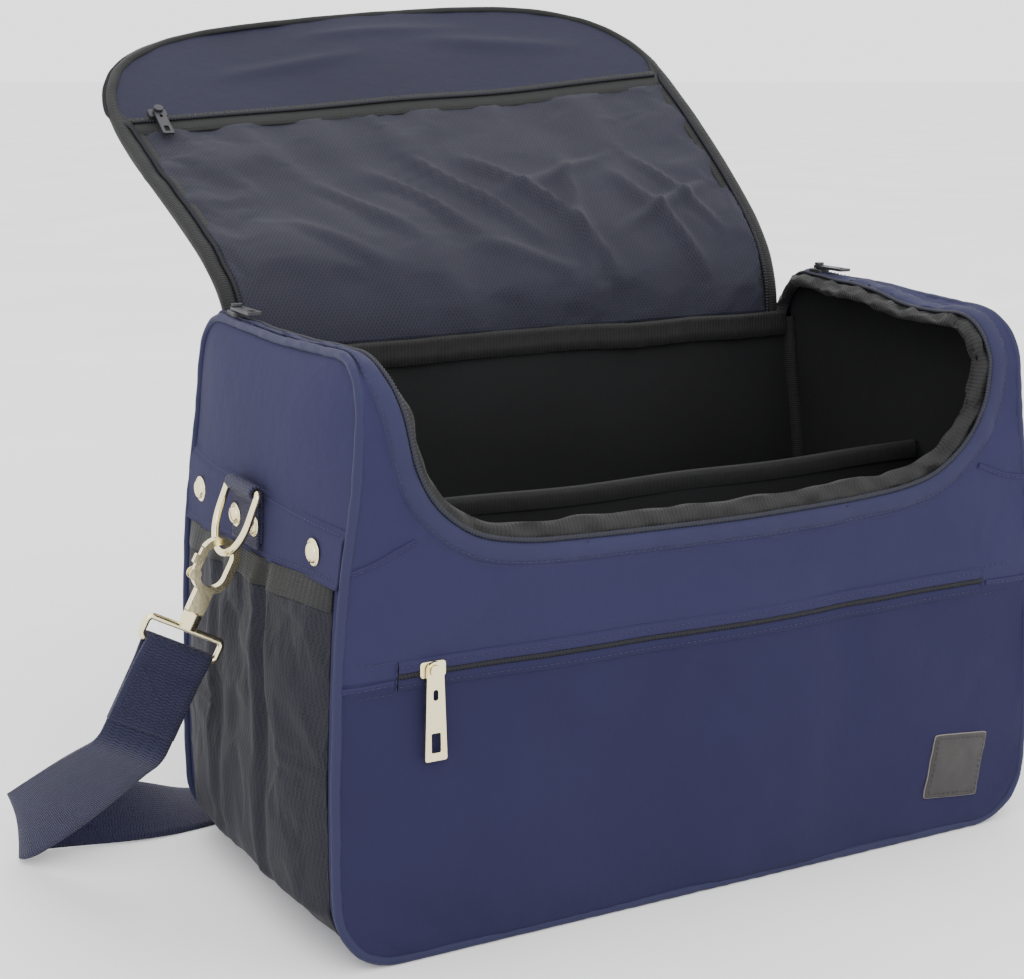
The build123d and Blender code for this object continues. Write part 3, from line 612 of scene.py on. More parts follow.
def wrap(x, s, h=0.0):
    """A point on the cloth that goes up the front, over the top and down the back."""
    x, s = np.broadcast_arrays(np.asarray(x, float), np.asarray(s, float))
    y, z, ny, nz = profile(s)
    low = np.where(s > WRAP / 2, WRAP - s, s)
    belly = np.clip(1 - (x / 0.214) ** 2, 0, 1) * np.sin(np.clip(low / 0.215, 0, 1) * pi)
    flat = np.stack([x, low, y], -1)
    pad = MM * (belly * 2.4 + np.clip(1 - (np.abs(x) / 0.214) ** 8, 0, 1)
        * (0.9 * ripple(flat, 0.11, 5) + 0.35 * ripple(flat, 0.04, 6)))
    # the cloth rolls out under the opening's rim and falls in below it
    front = np.where(s > WRAP / 2, 0, np.clip(1 - (x / 0.18) ** 4, 0, 1))
    pad = pad + MM * front * (0.9 * np.exp(-(((low - 0.198) / 0.011) ** 2)) - 2.0
        * np.exp(-(((low - 0.174) / 0.013) ** 2)))
    pad = np.where(low < 0.004, 0, pad)
    return warp(np.stack([x, y + ny * (h + pad), z + nz * (h + pad)], -1)) + carry(x, s)


def wrap_normal(s):
    y, z, ny, nz = profile(s)
    return np.stack([np.zeros_like(ny), ny, nz], -1)


def bunched(count, edge=0.93):
    """Numbers from -1 to 1, closer together towards both ends."""
    return np.sin(np.linspace(-1, 1, count) * pi / 2 * edge) / sin(pi / 2 * edge)


def wrap_flat(u, s, inset=0.0):
    """Flat (x, s) places of a grid that fills the wrap between its seams and its rounded feet."""
    low = np.where(s > WRAP / 2, WRAP - s, s)
    across = np.abs(u) * (seam_x(0.03) - inset)
    foot = FOOT - inset
    reach = np.clip(across - FOOT_X, 0, foot)
    floor = FOOT_Z - np.sqrt(np.maximum(0, foot**2 - reach**2))
    lifted = np.where(low < 0.12, floor + low * (0.12 - floor) / 0.12, low)
    z = profile(lifted)[1]
    return u * (seam_x(z) - inset), np.where(s > WRAP / 2, WRAP - lifted, lifted)


# Edge of the opening on the right, in flat (x, s) places from the middle of the front to the back
EDGE = [
    (0, 0.2065), (0.05, 0.207), (0.095, 0.2085), (0.125, 0.2115), (0.143, 0.2165), (0.158, 0.2265),
    (0.169, 0.2395), (0.176, 0.2555), (0.1805, 0.274), (0.1850, 0.290), (0.189, 0.310), (0.1905, 0.350),
    (0.1915, 0.42), (0.193, 0.470), (0.194, 0.500), (0.1935, BACK_CORNER - 0.002),
]
# The cloth on the right hangs further into the opening at its front corner
RIGHT_LAP = [(0, 0.20), (-3, 0.235), (-4, 0.256), (-2, 0.274), (5, 0.295), (11, 0.325), (12, 0.36),
    (8, 0.42), (3, 0.47), (0, 0.50)]
lap_by, lap_at = zip(*RIGHT_LAP)
whole_edge = [(-x, s) for x, s in EDGE[:0:-1]] + [(x - MM * float(np.interp(s, lap_at, lap_by, 0, 0)), s)
    for x, s in EDGE]


def edge_line(step):
    """The opening's edge from the back left, round the front, to the back right, and the way out from it."""
    line = smooth_line(whole_edge, step)
    t = along(line)
    return line, np.stack([t[:, 1], -t[:, 0]], 1)


edge_flat, edge_out = edge_line(0.004)


def away_from_edge(x, s, grow):
    """Distance outside the opening, grown by a margin, and the nearest place on its edge."""
    p = np.stack([x, s], -1).reshape(-1, 2)
    line = edge_flat + edge_out * grow
    line[[0, -1], 1] = edge_flat[0, 1] + grow
    line = np.vstack([line, line[:1]])
    a, b = line[:-1], line[1:]
    d = b - a
    best, near, sign = np.full(len(p), 1e9), np.zeros_like(p), np.ones(len(p))
    for first, step in zip(a, d):
        t = np.clip(((p - first) @ step) / (step @ step), 0, 1)
        foot = first + t[:, None] * step
        gap = np.linalg.norm(p - foot, axis=1)
        closer = gap < best
        best = np.where(closer, gap, best)
        near[closer] = foot[closer]
        cross = step[1] * (p[:, 0] - first[0]) - step[0] * (p[:, 1] - first[1])
        sign = np.where(closer, np.sign(cross), sign)
    return (best * sign).reshape(x.shape), near.reshape(*x.shape, 2)


def wrap_piece(name, rows, columns, span, h, grow, material, replaces, slot, thickness, inset=0.0,
    second=None, toward="out"):
    """Part of the wrap between two places along it, less the opening."""
    u, s = np.meshgrid(bunched(columns), np.linspace(*span, rows))
    x, s = wrap_flat(u, s, inset)
    cell = max(0.42 / columns, (span[1] - span[0]) / rows) * 0.78
    gap, near = away_from_edge(x, s, grow)
    snap = np.abs(gap) < cell
    x, s = np.where(snap, near[..., 0], x), np.where(snap, near[..., 1], s)
    out = snap | (gap > 0)
    points = wrap(x, s, h)
    faces = []
    for f in quads(rows, columns):
        kept = out.ravel()[list(f)]
        inside = snap.ravel()[list(f)].all() and gap.ravel()[list(f)].mean() < 0
        if kept.all() and not inside:
            faces.append(f)
    used = sorted({k for f in faces for k in f})
    order = {k: n for n, k in enumerate(used)}
    faces = [tuple(order[k] for k in f) for f in faces]
    faces = turned(points.reshape(-1, 3)[used], faces, toward)
    flat = np.stack([x.ravel(), s.ravel()], 1)[used]
    made = piece(name, points.reshape(-1, 3)[used], faces, material, "bag", slot, flat, thickness,
        replaces=replaces)
    if second:
        made.data.materials.append(second[0])
        for face in made.data.polygons:
            face.material_index = int(flat[list(face.vertices), 1].mean() < second[1])
    edge_count = np.zeros(len(used), int)
    for f in faces:
        for k in f:
            edge_count[k] += 1
    return made, edge_count < 4, flat


front_cloth, pinned, front_flat = wrap_piece(
    "front_cloth", 134, 116, (0.0, BACK_CORNER), 0.0, 0.003, navy_cloth,
    ("front_lower_panel", "front_upper_panel", "shoulder_strips"), "navy_fabric", 0.0016,
    second=(navy_lower, 0.149),
)
before = np.array([v.co for v in front_cloth.data.vertices])
settle(front_cloth, pinned, shrink=-0.0035, cap=0.003, inward=0.0006)
front_moves = np.array([v.co for v in front_cloth.data.vertices]) - before
front_tree = KDTree(len(front_flat))
for index, (px, ps) in enumerate(front_flat):
    front_tree.insert((px, ps, 0), index)
front_tree.balance()
back_cloth, pinned, _ = wrap_piece(
    "back_cloth", 70, 96, (BACK_CORNER, WRAP), 0.0, 0.003, navy_lower, ("back_panel",), "navy_fabric", 0.0016,
)
settle(back_cloth, pinned, shrink=-0.006, cap=0.0035, inward=0.0007)
wrap_piece(
    "front_lining", 120, 90, (0.004, BACK_CORNER * 0.62), -WALL, 0.002, black_lining, ("front_padding",),
    "black_lining",
    0.0036, WALL, toward="in",
)
wrap_piece(
    "back_lining", 110, 90, (BACK_CORNER * 0.62, WRAP - 0.004), -WALL, 0.002, black_lining,
    ("back_padding",), "black_lining",
    0.0036, WALL, toward="in",
)

settled.update(tree=front_tree, move=front_moves)

# ---------------------------------------------------------------- ends and base


def top_z(y, round_by=0.0305, top=0.3045, half=SEAM_Y):
    """Height of the end's rounded outline."""
    reach = np.clip(np.abs(y) - (half - round_by), 0, round_by)
    return top - round_by + np.sqrt(np.maximum(0, round_by**2 - reach**2))


def end_bulge(y, z):
    """How far the end's cloth stands out from its seams."""
    across = np.clip(1 - (np.abs(y) / SEAM_Y) ** 3, 0, 1)
    fade = np.clip((top_z(y) - z) / 0.03, 0, 1) ** 0.6
    gap = cad_end_x(z) - seam_x(z)
    waves = 0.5 * ripple(np.stack([y, z, 0 * y], -1), 0.07, 12) + 0.25 * ripple(np.stack([y, z, 0 * y], -1),
        0.03, 13)
    return across * fade * (gap + MM * 0.25 * waves)


def end_point(side, y, z, h=0.0):
    """A point on an end's cloth at a height above its lower corner."""
    x = side * (seam_x(z) + end_bulge(y, z) + h)
    return warp(np.stack([x, y, z], -1))


def end_grid(side, rows, columns, h=0.0, half=SEAM_Y):
    """Grid of an end, from its top edge down and round its lower corner."""
    y = bunched(columns) * half
    drop = np.linspace(0, 1, rows)
    grid = np.empty((rows + 12, columns, 3))
    top = top_z(y, 0.0305 - (SEAM_Y - half), 0.3045 - (SEAM_Y - half), half)
    z = top[None] + (FOOT_Z - top[None]) * drop[:, None]
    grid[:rows] = end_point(side, np.broadcast_to(y, z.shape), z, h)
    for k, turn in enumerate(np.linspace(0, pi / 2, 13)[1:]):
        x = FOOT_X + (seam_x(FOOT_Z) - FOOT_X + h) * cos(turn)
        grid[rows + k] = warp(np.stack([np.full(columns, side * x), y,
            np.full(columns, FOOT_Z - (FOOT_Z - 0.0012 + h) * sin(turn))], -1))
    return grid


for side, name in ((-1, "left"), (1, "right")):
    grid = end_grid(side, 76, 60)
    made = grid_piece(f"end_cloth_{name}", grid, navy_cloth, "bag", toward="out", slot="navy_fabric",
        thickness=0.0016, replaces=(f"end_panel_{name}",))
    grid = end_grid(side, 60, 48, -WALL, SEAM_Y - WALL + 0.0015)
    grid_piece(f"end_lining_{name}", grid, black_lining, "bag", toward="in", slot="black_lining",
        thickness=0.0036, replaces=(f"end_padding_{name}",))

y, x = np.meshgrid(np.linspace(-SEAM_Y, SEAM_Y, 44), np.linspace(-FOOT_X, FOOT_X, 70), indexing="ij")
waves = 0.5 * MM * (1 + ripple(np.stack([x, y, 0 * x], -1), 0.08, 21))
grid_piece("base_cloth", np.stack([x, y, 0.0012 + 0.4 * waves], -1), navy_lower, "bag", toward=(0, 0, -1),
    slot="navy_fabric", thickness=0.0012, replaces=("bottom_panel",))

# Piping: one closed loop, a quarter of it mirrored twice
PIPE = 0.0025


def seam_quarter():
    """The seam from the middle of the base's front edge to the middle of the right end's top."""
    base = [(x, 0.0) for x in np.linspace(0, FOOT_X, 24)]
    turn = np.linspace(-pi / 2, 0, 10)[1:-1]
    foot = [(FOOT_X + FOOT * cos(a), FOOT_Z + (FOOT_Z - PIPE) * sin(a)) for a in turn]
    low = np.array([(x, PIPE) for x, _ in base] + foot)
    front = np.stack([low[:, 0], np.full(len(low), -SEAM_Y), low[:, 1]], -1)
    s = np.linspace(FOOT_Z, WRAP / 2, 70)
    y, z, ny, nz = profile(s)
    inset = 0.0015
    up = np.stack([seam_x(z), y - ny * inset, z - nz * inset], -1)
    return np.vstack([front, up])


quarter = seam_quarter()
half_loop = np.vstack([quarter, (quarter * [1, -1, 1])[::-1][1:]])
seam_loop = np.vstack([half_loop, (half_loop * [-1, 1, 1])[::-1][1:-1]])
run = np.linspace(0, 1, len(seam_loop), endpoint=False)
seam_loop = warp(seam_loop)
wobble = np.stack([ripple(seam_loop, 0.06, 31 + k) for k in range(3)], -1) * 0.00035
wobble[seam_loop[:, 2] < 0.01] = 0
seam_loop = seam_loop + wobble
dense = np.vstack([seam_loop, seam_loop[:1]])
dense_run = lengths(dense)
even = np.linspace(0, dense_run[-1], 900, endpoint=False)
seam_loop = np.stack([np.interp(even, dense_run, dense[:, k]) for k in range(3)], 1)
outward = unit(seam_loop - np.array([0, 0, 0.12]))
puckers = 1 + 0.05 * ripple(seam_loop, 0.009, 41)
pipe_profile = np.repeat(circle(PIPE, 10)[None], len(seam_loop), 0) * puckers[:, None, None]
grid_piece("seam_piping_cord", sweep(seam_loop, outward, pipe_profile, closed=True), piping_cloth, "bag",
    True, True, slot="navy_piping", replaces=("seam_piping",))

# ---------------------------------------------------------------- rim, zip and binding of the opening


def edge_ring(offset, height, step=0.003):
    """The opening's edge moved out over the cloth and up from it, both in metres (numbers or arrays)."""
    line, out = edge_line(step)
    flat = line + out * np.reshape(offset, (-1, 1))
    widest = seam_x(profile(flat[:, 1])[1]) - 0.0022
    return wrap(np.clip(flat[:, 0], -widest, widest), flat[:, 1], height)


def edge_band(name, shape, step, material, slot, replaces, uneven=None):
    """A band round the opening from (offset, height) pairs in millimetres."""
    line, _ = edge_line(step)
    run = lengths(line)
    rows = []
    for k, (offset, height) in enumerate(shape):
        extra = uneven(run, k, line) if uneven else (0.0, 0.0)
        rows.append(edge_ring((offset + extra[0]) * MM * np.ones(len(line)), (height + extra[1]) * MM, step))
    grid = np.stack(rows, 1)
    return grid_piece(name, grid, material, "bag", slot=slot, replaces=replaces, toward="out")


def rim_pucker(run, k, line):
    strength = (0, 0.1, 0.35, 0.5, 0.5, 0.45, 0.3, 0.15)[min(k, 7)]
    wave = ripple(np.stack([run, 0 * run, 0 * run], -1), 0.016, 51)
    return 0.25 * wave * strength, strength * wave


edge_band("opening_rim_fold", [(14, 0.05), (12.4, -0.3), (11.6, 0.8), (9.5, 1.5), (6.5, 1.8), (4.0, 1.5),
    (2.2, 0.8), (1.0, -0.6)], 0.003,
          rim_cloth, "navy_fabric", ("opening_rim",), rim_pucker)


def frill(run, k, line):
    strength = (0.1, 0.5, 0.9, 1.1, 1.1, 0.8, 0.4, 0)[min(k, 7)]
    spot = np.stack([run, 0 * run + 0.01 * k, 0 * run], -1)
    strength *= 1 + 0.8 * np.clip((line[:, 0] - 0.04) / 0.1, 0, 1)
    tucked = np.clip((-line[:, 0] - 0.09) / 0.08, 0, 1)
    side = strength * 0.8 * ripple(spot, 0.022, 55) - 0.75 * tucked * FRILL[k][0]
    return side * (1 - 0.6 * tucked * (k > 2)), strength * ripple(spot, 0.014, 56) - 1.5 * tucked * (k > 1)


FRILL = [(2.5, -1.6), (0, -1.2), (-2.5, -1.6), (-5.5, -2.6), (-8.2, -4.6), (-8.8, -6.6), (-6.5, -8.2),
    (-1.0, -8.4)]
edge_band("opening_binding_frill", FRILL, 0.003,
          ruffle_tape, "black_binding", ("opening_binding",), frill)


COIL_SIDES = 7


def ribbed(path, normal, radius, pitch, depth=0.3, squash=0.8):
    """Grid of a zip coil: a small tube whose thickness rises and falls."""
    run = lengths(path)
    fine = np.arange(0, run[-1], pitch / 4)
    line = np.stack([np.interp(fine, run, path[:, k]) for k in range(3)], 1)
    up = np.stack([np.interp(fine, run, normal[:, k]) for k in range(3)], 1)
    swell = 1 + depth * np.sin(fine * 2 * pi / pitch)
    shape = np.repeat(circle(radius, COIL_SIDES, squash)[None], len(line), 0) * swell[:, None, None]
    return sweep(line, up, shape)


line, _ = edge_line(0.002)
coil_path = edge_ring(0.2 * MM * np.ones(len(line)), -0.1 * MM, 0.002)
grid_piece("opening_zip_coil", ribbed(coil_path, wrap_normal(line[:, 1]), 0.0014, 0.0018, depth=0.22),
    coil_navy, "bag", close_columns=True, slot="black_zip", replaces=("opening_zip",))

rim_rows = []
for offset in (10.9,):
    rim_rows.append((edge_ring(offset * MM * np.ones(len(line)), 1.15 * MM, 0.002), wrap_normal(line[:, 1])))
stitch_piece("rim_stitching", rim_rows, 0.0034, (0.0023, 0.00035, 0.0003), thread_navy, "bag", "navy_fabric")


def cloth_seam(name, places, flip=1):
    """A folded seam over the wrap, through flat places. Returns its row of stitches."""
    flat = smooth_line(places, 0.004)
    t = along(flat)
    out = np.stack([t[:, 1], -t[:, 0]], 1) * flip
    shape = [(3.2, 0.05), (2.6, 0.45), (0.6, 0.8), (0.05, 0.55), (-0.15, -0.4)]
    rows = [wrap(flat[:, 0] + out[:, 0] * o * MM, flat[:, 1] + out[:, 1] * o * MM, h * MM) for o, h in shape]
    grid_piece(name, np.stack(rows, 1), navy_cloth, "bag", slot="navy_fabric", toward="out")
    row = wrap(flat[:, 0] + out[:, 0] * 2 * MM, flat[:, 1] + out[:, 1] * 2 * MM, 0.62 * MM)
    return row, wrap_normal(flat[:, 1])


seam_rows = []
for name, places, flip in (
    ("panel_seam_left", [(-0.2155, 0.1485), (-0.203, 0.1487), (-0.188, 0.149)], 1),
    ("panel_seam_right", [(0.183, 0.150), (0.199, 0.1495), (0.2155, 0.149)], 1),
    ("shoulder_seam_left", [(-0.2105, 0.2055), (-0.197, 0.209), (-0.1765, 0.2175)], 1),
    ("shoulder_seam_right", [(0.1765, 0.2185), (0.195, 0.2115), (0.2105, 0.2085)], 1),
):
    seam_rows.append(cloth_seam(name, places, flip))
across = np.linspace(-0.2015, 0.2015, 150)
seam_shape = [(7.5, 0.1, 0), (7.0, 0.9, 0), (4.0, 1.3, 0), (0.5, 1.3, 0), (0.5, 1.2, 3.5), (0.5, 0.6, 5.0),
    (0.5, -1.6, 5.4)]
rows = [wrap(across, BACK_CORNER + d * MM, h * MM) + np.array([0, 0, up * MM]) for d, h, up in seam_shape]
grid_piece("back_seam", np.stack(rows, 1), navy_cloth, "bag", toward=(0, 1, 0), slot="navy_fabric")
seam_rows.append((wrap(across, BACK_CORNER + 2.5 * MM, 1.35 * MM),
    wrap_normal(np.full(150, BACK_CORNER + 2.5 * MM))))
stitch_piece("seam_stitching", seam_rows, 0.0034, (0.0023, 0.00035, 0.0003), thread_navy, "bag",
    "navy_fabric")

# ---------------------------------------------------------------- front pocket zip

ZIP_Z, ZIP_LEFT, ZIP_RIGHT = 0.1505, -0.186, 0.180


def zip_line(offset, height, left=ZIP_LEFT, right=ZIP_RIGHT, step=0.004):
    x = np.arange(left, right + step / 2, step)
    sag = 0.0016 * (1 - (x / 0.19) ** 2)
    return wrap(x, ZIP_Z - sag + offset * MM, height * MM), x


def zip_band(name, shape, material, slot, **more):
    grid = np.stack([zip_line(o, h)[0] for o, h in shape], 1)
    return grid_piece(name, grid, material, "bag", slot=slot, **more)


zip_band("pocket_zip_tape", [(-5.6, 0.15), (-5.2, 0.35), (0, 0.25), (5.2, 0.35), (5.6, 0.15)], coil_dark,
    "zip_tape", replaces=("pocket_zip",), toward="out")
zip_band("pocket_lip_low", [(-7.8, 0.1), (-7.2, 0.8), (-5.4, 1.15), (-2.4, 1.1), (-1.4, 0.4)], navy_lower,
    "navy_fabric", toward="out")
zip_band("pocket_lip_high", [(1.2, 0.4), (2.2, 1.2), (5.4, 1.3), (7.2, 0.8), (7.8, 0.1)], navy_cloth,
    "navy_fabric", toward="out")
coil_path, x = zip_line(0, 0.2, step=0.002)
front_up = np.repeat([[0, -1.0, 0]], len(coil_path), 0)
grid_piece("pocket_zip_coil", ribbed(coil_path, front_up, 0.0016, 0.0019, squash=0.5), coil_dark, "bag",
    close_columns=True, slot="zip_tape")
zip_rows = []
for offset in (-5.0, 5.0):
    path, x = zip_line(offset, 1.2)
    zip_rows.append((path, np.repeat([[0, -1.0, 0]], len(path), 0)))
for left, right, post in ((-0.208, -0.187, -0.187), (0.181, 0.200, 0.181)):
    for offset in (-8.5, 8.0):
        path, x = zip_line(offset, 0.25, left, right)
        zip_rows.append((path, np.repeat([[0, -1.0, 0]], len(path), 0)))
    z = np.linspace(-8.5, 8.0, 8) * MM + ZIP_Z
    zip_rows.append((wrap(np.full(8, post), z, 0.9 * MM), np.repeat([[0, -1.0, 0]], 8, 0)))
stitch_piece("pocket_zip_stitching", zip_rows, 0.0034, (0.0023, 0.00035, 0.0003), thread_navy, "bag",
    "navy_fabric")

# ---------------------------------------------------------------- leather patch

PATCH_X, PATCH_Z, PATCH, PATCH_TURN = 0.167, 0.042, 0.0385, radians(6)


def patch_grid(half, count, lift, crown):
    t = bunched(count, 0.8) * half
    a, b = np.meshgrid(t, t)
    round_by = 0.0016
    corner = np.maximum(np.abs(a), np.abs(b)) / half
    pull = 1 - 0.03 * (np.abs(a) / half * np.abs(b) / half) ** 10
    a, b = a * pull, b * pull
    x = PATCH_X + a * cos(PATCH_TURN) + b * sin(PATCH_TURN)
    z = PATCH_Z - a * sin(PATCH_TURN) + b * cos(PATCH_TURN)
    high = lift + crown * (1 - corner**6) + 0.00015 * ripple(np.stack([a, b, 0 * a], -1), 0.012, 61)
    return wrap(x, z, high)


grid_piece("leather_patch_skin", patch_grid(PATCH / 2, 26, 0.0011, 0.0006), patch_skin, "bag",
    slot="patch_leather", thickness=0.0009, replaces=("leather_patch",), toward="out")
grid_piece("leather_patch_edge", patch_grid(PATCH / 2 + 0.0004, 20, 0.0008, 0.0), patch_edge, "bag",
    slot="patch_leather", thickness=0.0008, toward="out")
frame_half = PATCH / 2 - 0.0022
frame_rows = []
for a, b, c, d in ((-1, -1, 1, -1), (1, -1, 1, 1), (1, 1, -1, 1), (-1, 1, -1, -1)):
    t = np.linspace(0, 1, 10)
    p, q = (a + (c - a) * t) * frame_half, (b + (d - b) * t) * frame_half
    x = PATCH_X + p * cos(PATCH_TURN) + q * sin(PATCH_TURN)
    z = PATCH_Z - p * sin(PATCH_TURN) + q * cos(PATCH_TURN)
    frame_rows.append((wrap(x, z, 0.0017), np.repeat([[0, -1.0, 0]], 10, 0)))
stitch_piece("patch_stitching", frame_rows, 0.0032, (0.0022, 0.0003, 0.0003), thread_black, "bag",
    "patch_leather")

# ---------------------------------------------------------------- end hardware and mesh pockets

YOKE_H = 0.0019
POCKET_HALF, POCKET_LOW = 0.098, 0.017
RIVET_Y, RIVET_Z = (-0.079, -0.0125, 0.0125, 0.079), 0.209
RING_X, RING_Z = 0.220495, 0.226


def yoke_foot(y):
    """Lower edge of the yoke, and top of the elastic."""
    return 0.1925 - 0.0038 * np.asarray(y) / 0.1 + 0.0008 * np.sin(np.asarray(y) * 60)


def pocket_bulge(y, z):
    """How far the mesh pocket stands out from the end cloth."""
    across = np.clip(1 - (np.abs(y) / POCKET_HALF) ** 5, 0, 1) ** 0.8
    rise = (z - POCKET_LOW) / (0.176 - POCKET_LOW)
    up = np.clip(rise / 0.06, 0, 1) ** 0.7
    folds = np.zeros_like(y)
    for at, lean, width, deep in ((-0.074, 0.010, 0.010, 0.7), (-0.027, -0.010, 0.0055, 3.6),
        (0.004, 0.006, 0.008, 1.7), (0.032, -0.003, 0.006, 2.2), (0.066, 0.004, 0.009, 1.3)):
        centre = at + lean * (1 - rise)
        folds -= deep * np.exp(-(((y - centre) / width) ** 2)) * (0.35 + 0.65 * np.clip(rise, 0, 1))
        folds += 0.45 * deep * np.exp(-(((y - centre - 1.8 * width) / width) ** 2))
    flat = np.stack([y, z * 0.35, 0 * y], -1)
    folds += 0.4 * ripple(flat, 0.022, 71) * np.clip(rise, 0.1, 1)
    return MM * across * up * np.maximum(0.4, 6.6 + folds)


for side, name in ((-1, "left"), (1, "right")):
    # the yoke: a flap of the end cloth whose lower edge is folded under
    y, t = np.meshgrid(bunched(60) * 0.1045, np.linspace(0, 1, 18))
    z = yoke_foot(y) + (0.2275 + 0.003 * y / 0.1 - yoke_foot(y)) * t
    lift = YOKE_H + 0.0004 * ripple(np.stack([y, z, 0 * y], -1), 0.05,
        81) + 0.0012 * np.exp(-((t * 18) ** 2)) - 0.0018 * np.clip(t * 18 - 15.5, 0, 1)
    grid = end_point(side, y, z, lift)
    grid_piece(f"yoke_{name}", grid, navy_cloth, "bag", toward="out", slot="navy_fabric", thickness=0.0016,
        replaces=(f"end_yoke_{name}",))
    rows = []
    path_y = np.linspace(-0.102, 0.102, 70)
    away = np.repeat([[side, 0.0, 0]], 70, 0)
    for up in (0.0035,):
        rows.append((end_point(side, path_y, yoke_foot(path_y) + up, YOKE_H + 0.0005), away))
    rows.append((end_point(side, path_y, 0.2275 + 0.003 * path_y / 0.1 - 0.0025, YOKE_H - 0.0002), away))
    stitch_piece(f"yoke_stitching_{name}", rows, 0.0034, (0.0023, 0.00035, 0.0003), thread_navy, "bag",
        "navy_fabric")

    # the mesh pocket, gathered into its elastic
    y, t = np.meshgrid(bunched(150, 0.8) * POCKET_HALF, np.linspace(0, 1, 64))
    z = POCKET_LOW + (yoke_foot(y) - 0.011 - POCKET_LOW) * t
    low = np.clip(FOOT_Z - z, 0, FOOT_Z)
    tuck = FOOT - np.sqrt(np.maximum(0, FOOT**2 - low**2))
    points = end_point(side, y, z, 0.0004 + pocket_bulge(y, z))
    points[..., 0] -= side * tuck
    mesh_pocket = grid_piece(f"mesh_pocket_net_{name}", points, end_net, "bag", toward="out",
        slot="pocket_mesh", thickness=0.0008, replaces=(f"mesh_pocket_{name}",))
    hold = np.zeros(y.shape, bool)
    hold[[0, -1]] = hold[:, [0, -1]] = True
    settle(mesh_pocket, hold.ravel(), shrink=-0.012, cap=0.0022, inward=0.0008, frames=14)
    y, t = np.meshgrid(bunched(150, 0.8) * POCKET_HALF, np.linspace(0, 1, 9))
    z = yoke_foot(y) + 0.001 - 0.0135 * t
    gather = 0.00018 * np.sin(y * 2 * pi / 0.0042 + 2 * ripple(np.stack([y, 0 * y, 0 * y], -1), 0.03, 83))
    grid = end_point(side, y, z, 0.0012 + pocket_bulge(y, np.minimum(z, 0.176)) * (0.35 + 0.62 * t)
        + gather * (1 - 0.5 * t))
    grid_piece(f"pocket_elastic_band_{name}", grid, black_tape, "bag", toward="out", slot="black_binding",
        thickness=0.0014, replaces=(f"pocket_elastic_{name}",))

    # webbing tab over the D-ring's bar
    lean = 0.009 / 0.206
    outer = [(cad_end_x(z) + 0.0045, z) for z in (0.1965, 0.202, 0.208, 0.214, 0.219)]
    loop = [(RING_X + 0.0031 * cos(a), RING_Z + 0.0031 * sin(a)) for a in np.linspace(-0.35, pi + 0.25, 14)]
    inner = [(cad_end_x(z) + 0.0029, z) for z in (0.219, 0.210, 0.200)]
    line = smooth_line(np.array(outer + loop + inner), 0.0012)
    width = np.linspace(-0.018, 0.018, 14)
    grid = np.stack([np.stack([side * line[:, 0], np.full(len(line), w), line[:, 1]], 1) for w in width], 1)
    grid_piece(f"ring_tab_webbing_{name}", grid, navy_webbing, "bag", slot="navy_webbing", thickness=0.0013,
        offset=0.0, replaces=(f"ring_tab_{name}",))
    rows = []
    for w in (-0.0155, 0.0155):
        z = np.linspace(0.198, 0.218, 8)
        rows.append((np.stack([side * (cad_end_x(z) + 0.0053), np.full(8, w), z], 1),
            np.repeat([[side, 0.0, 0]], 8, 0)))
    for z0 in (0.1985, 0.2185):
        w = np.linspace(-0.0155, 0.0155, 10)
        rows.append((np.stack([np.full(10, side * (cad_end_x(z0) + 0.0053)), w, np.full(10, z0)], 1),
            np.repeat([[side, 0.0, 0]], 10, 0)))
    stitch_piece(f"tab_stitching_{name}", rows, 0.003, (0.0022, 0.00035, 0.0003), thread_navy, "bag",
        "navy_webbing")

    # rivets: a washer and a domed cap
    shape = [(7.0, 0.0), (7.1, 0.45), (6.7, 0.95), (5.9, 1.05), (5.35, 0.85), (5.1, 1.3), (4.9, 2.1),
        (4.2, 2.75), (3.0, 3.15), (1.5, 3.35), (0.01, 3.4)]
    points, faces = [], []
    for y0 in RIVET_Y:
        tab = abs(y0) < 0.018
        seat = float(cad_end_x(RIVET_Z)) + 0.0051 if tab else float(abs(end_point(side, np.array(y0),
            np.array(RIVET_Z), YOKE_H)[0])) + 0.0001
        base = len(points)
        sides = 28
        for r, h in shape:
            for k in range(sides):
                a = 2 * pi * k / sides
                scale = 0.9 if tab else 1.0
                points.append((side * (seat + h * MM), y0 + scale * r * MM * cos(a),
                    RIVET_Z + scale * r * MM * sin(a)))
        cells = quads(len(shape), sides, close_columns=True)
        faces += [tuple(base + k for k in (f if side > 0 else f[::-1])) for f in cells]
    piece(f"rivet_caps_{name}", points, faces, gold, "bag", "pale_gold", replaces=(f"rivets_{name}",))

# ---------------------------------------------------------------- metal parts that keep their CAD shape

for node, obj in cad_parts.items():
    if node.startswith(("d_ring", "hook_left", "hook_right", "hook_gate", "swivel_loop", "pocket_slider",
        "pocket_puller")):
        finish_of = gold
    elif node.startswith(("opening_slider", "opening_puller", "lid_slider", "lid_puller")):
        finish_of = dark_metal
    elif node in ("base_board",):
        finish_of = board
    elif node in ("strap_adjuster",):
        finish_of = plastic
    else:
        finish_of = black_lining
    obj.data.materials.clear()
    obj.data.materials.append(finish_of)
    if finish_of in (gold, dark_metal, plastic) and not node.startswith("d_ring"):
        soft = obj.modifiers.new("soft_edges", "BEVEL")
        soft.width = 0.0005 if "gate" not in node else 0.0003
        soft.segments = 2
        soft.limit_method = "ANGLE"
        soft.angle_limit = radians(35)

# ---------------------------------------------------------------- inside of the bag


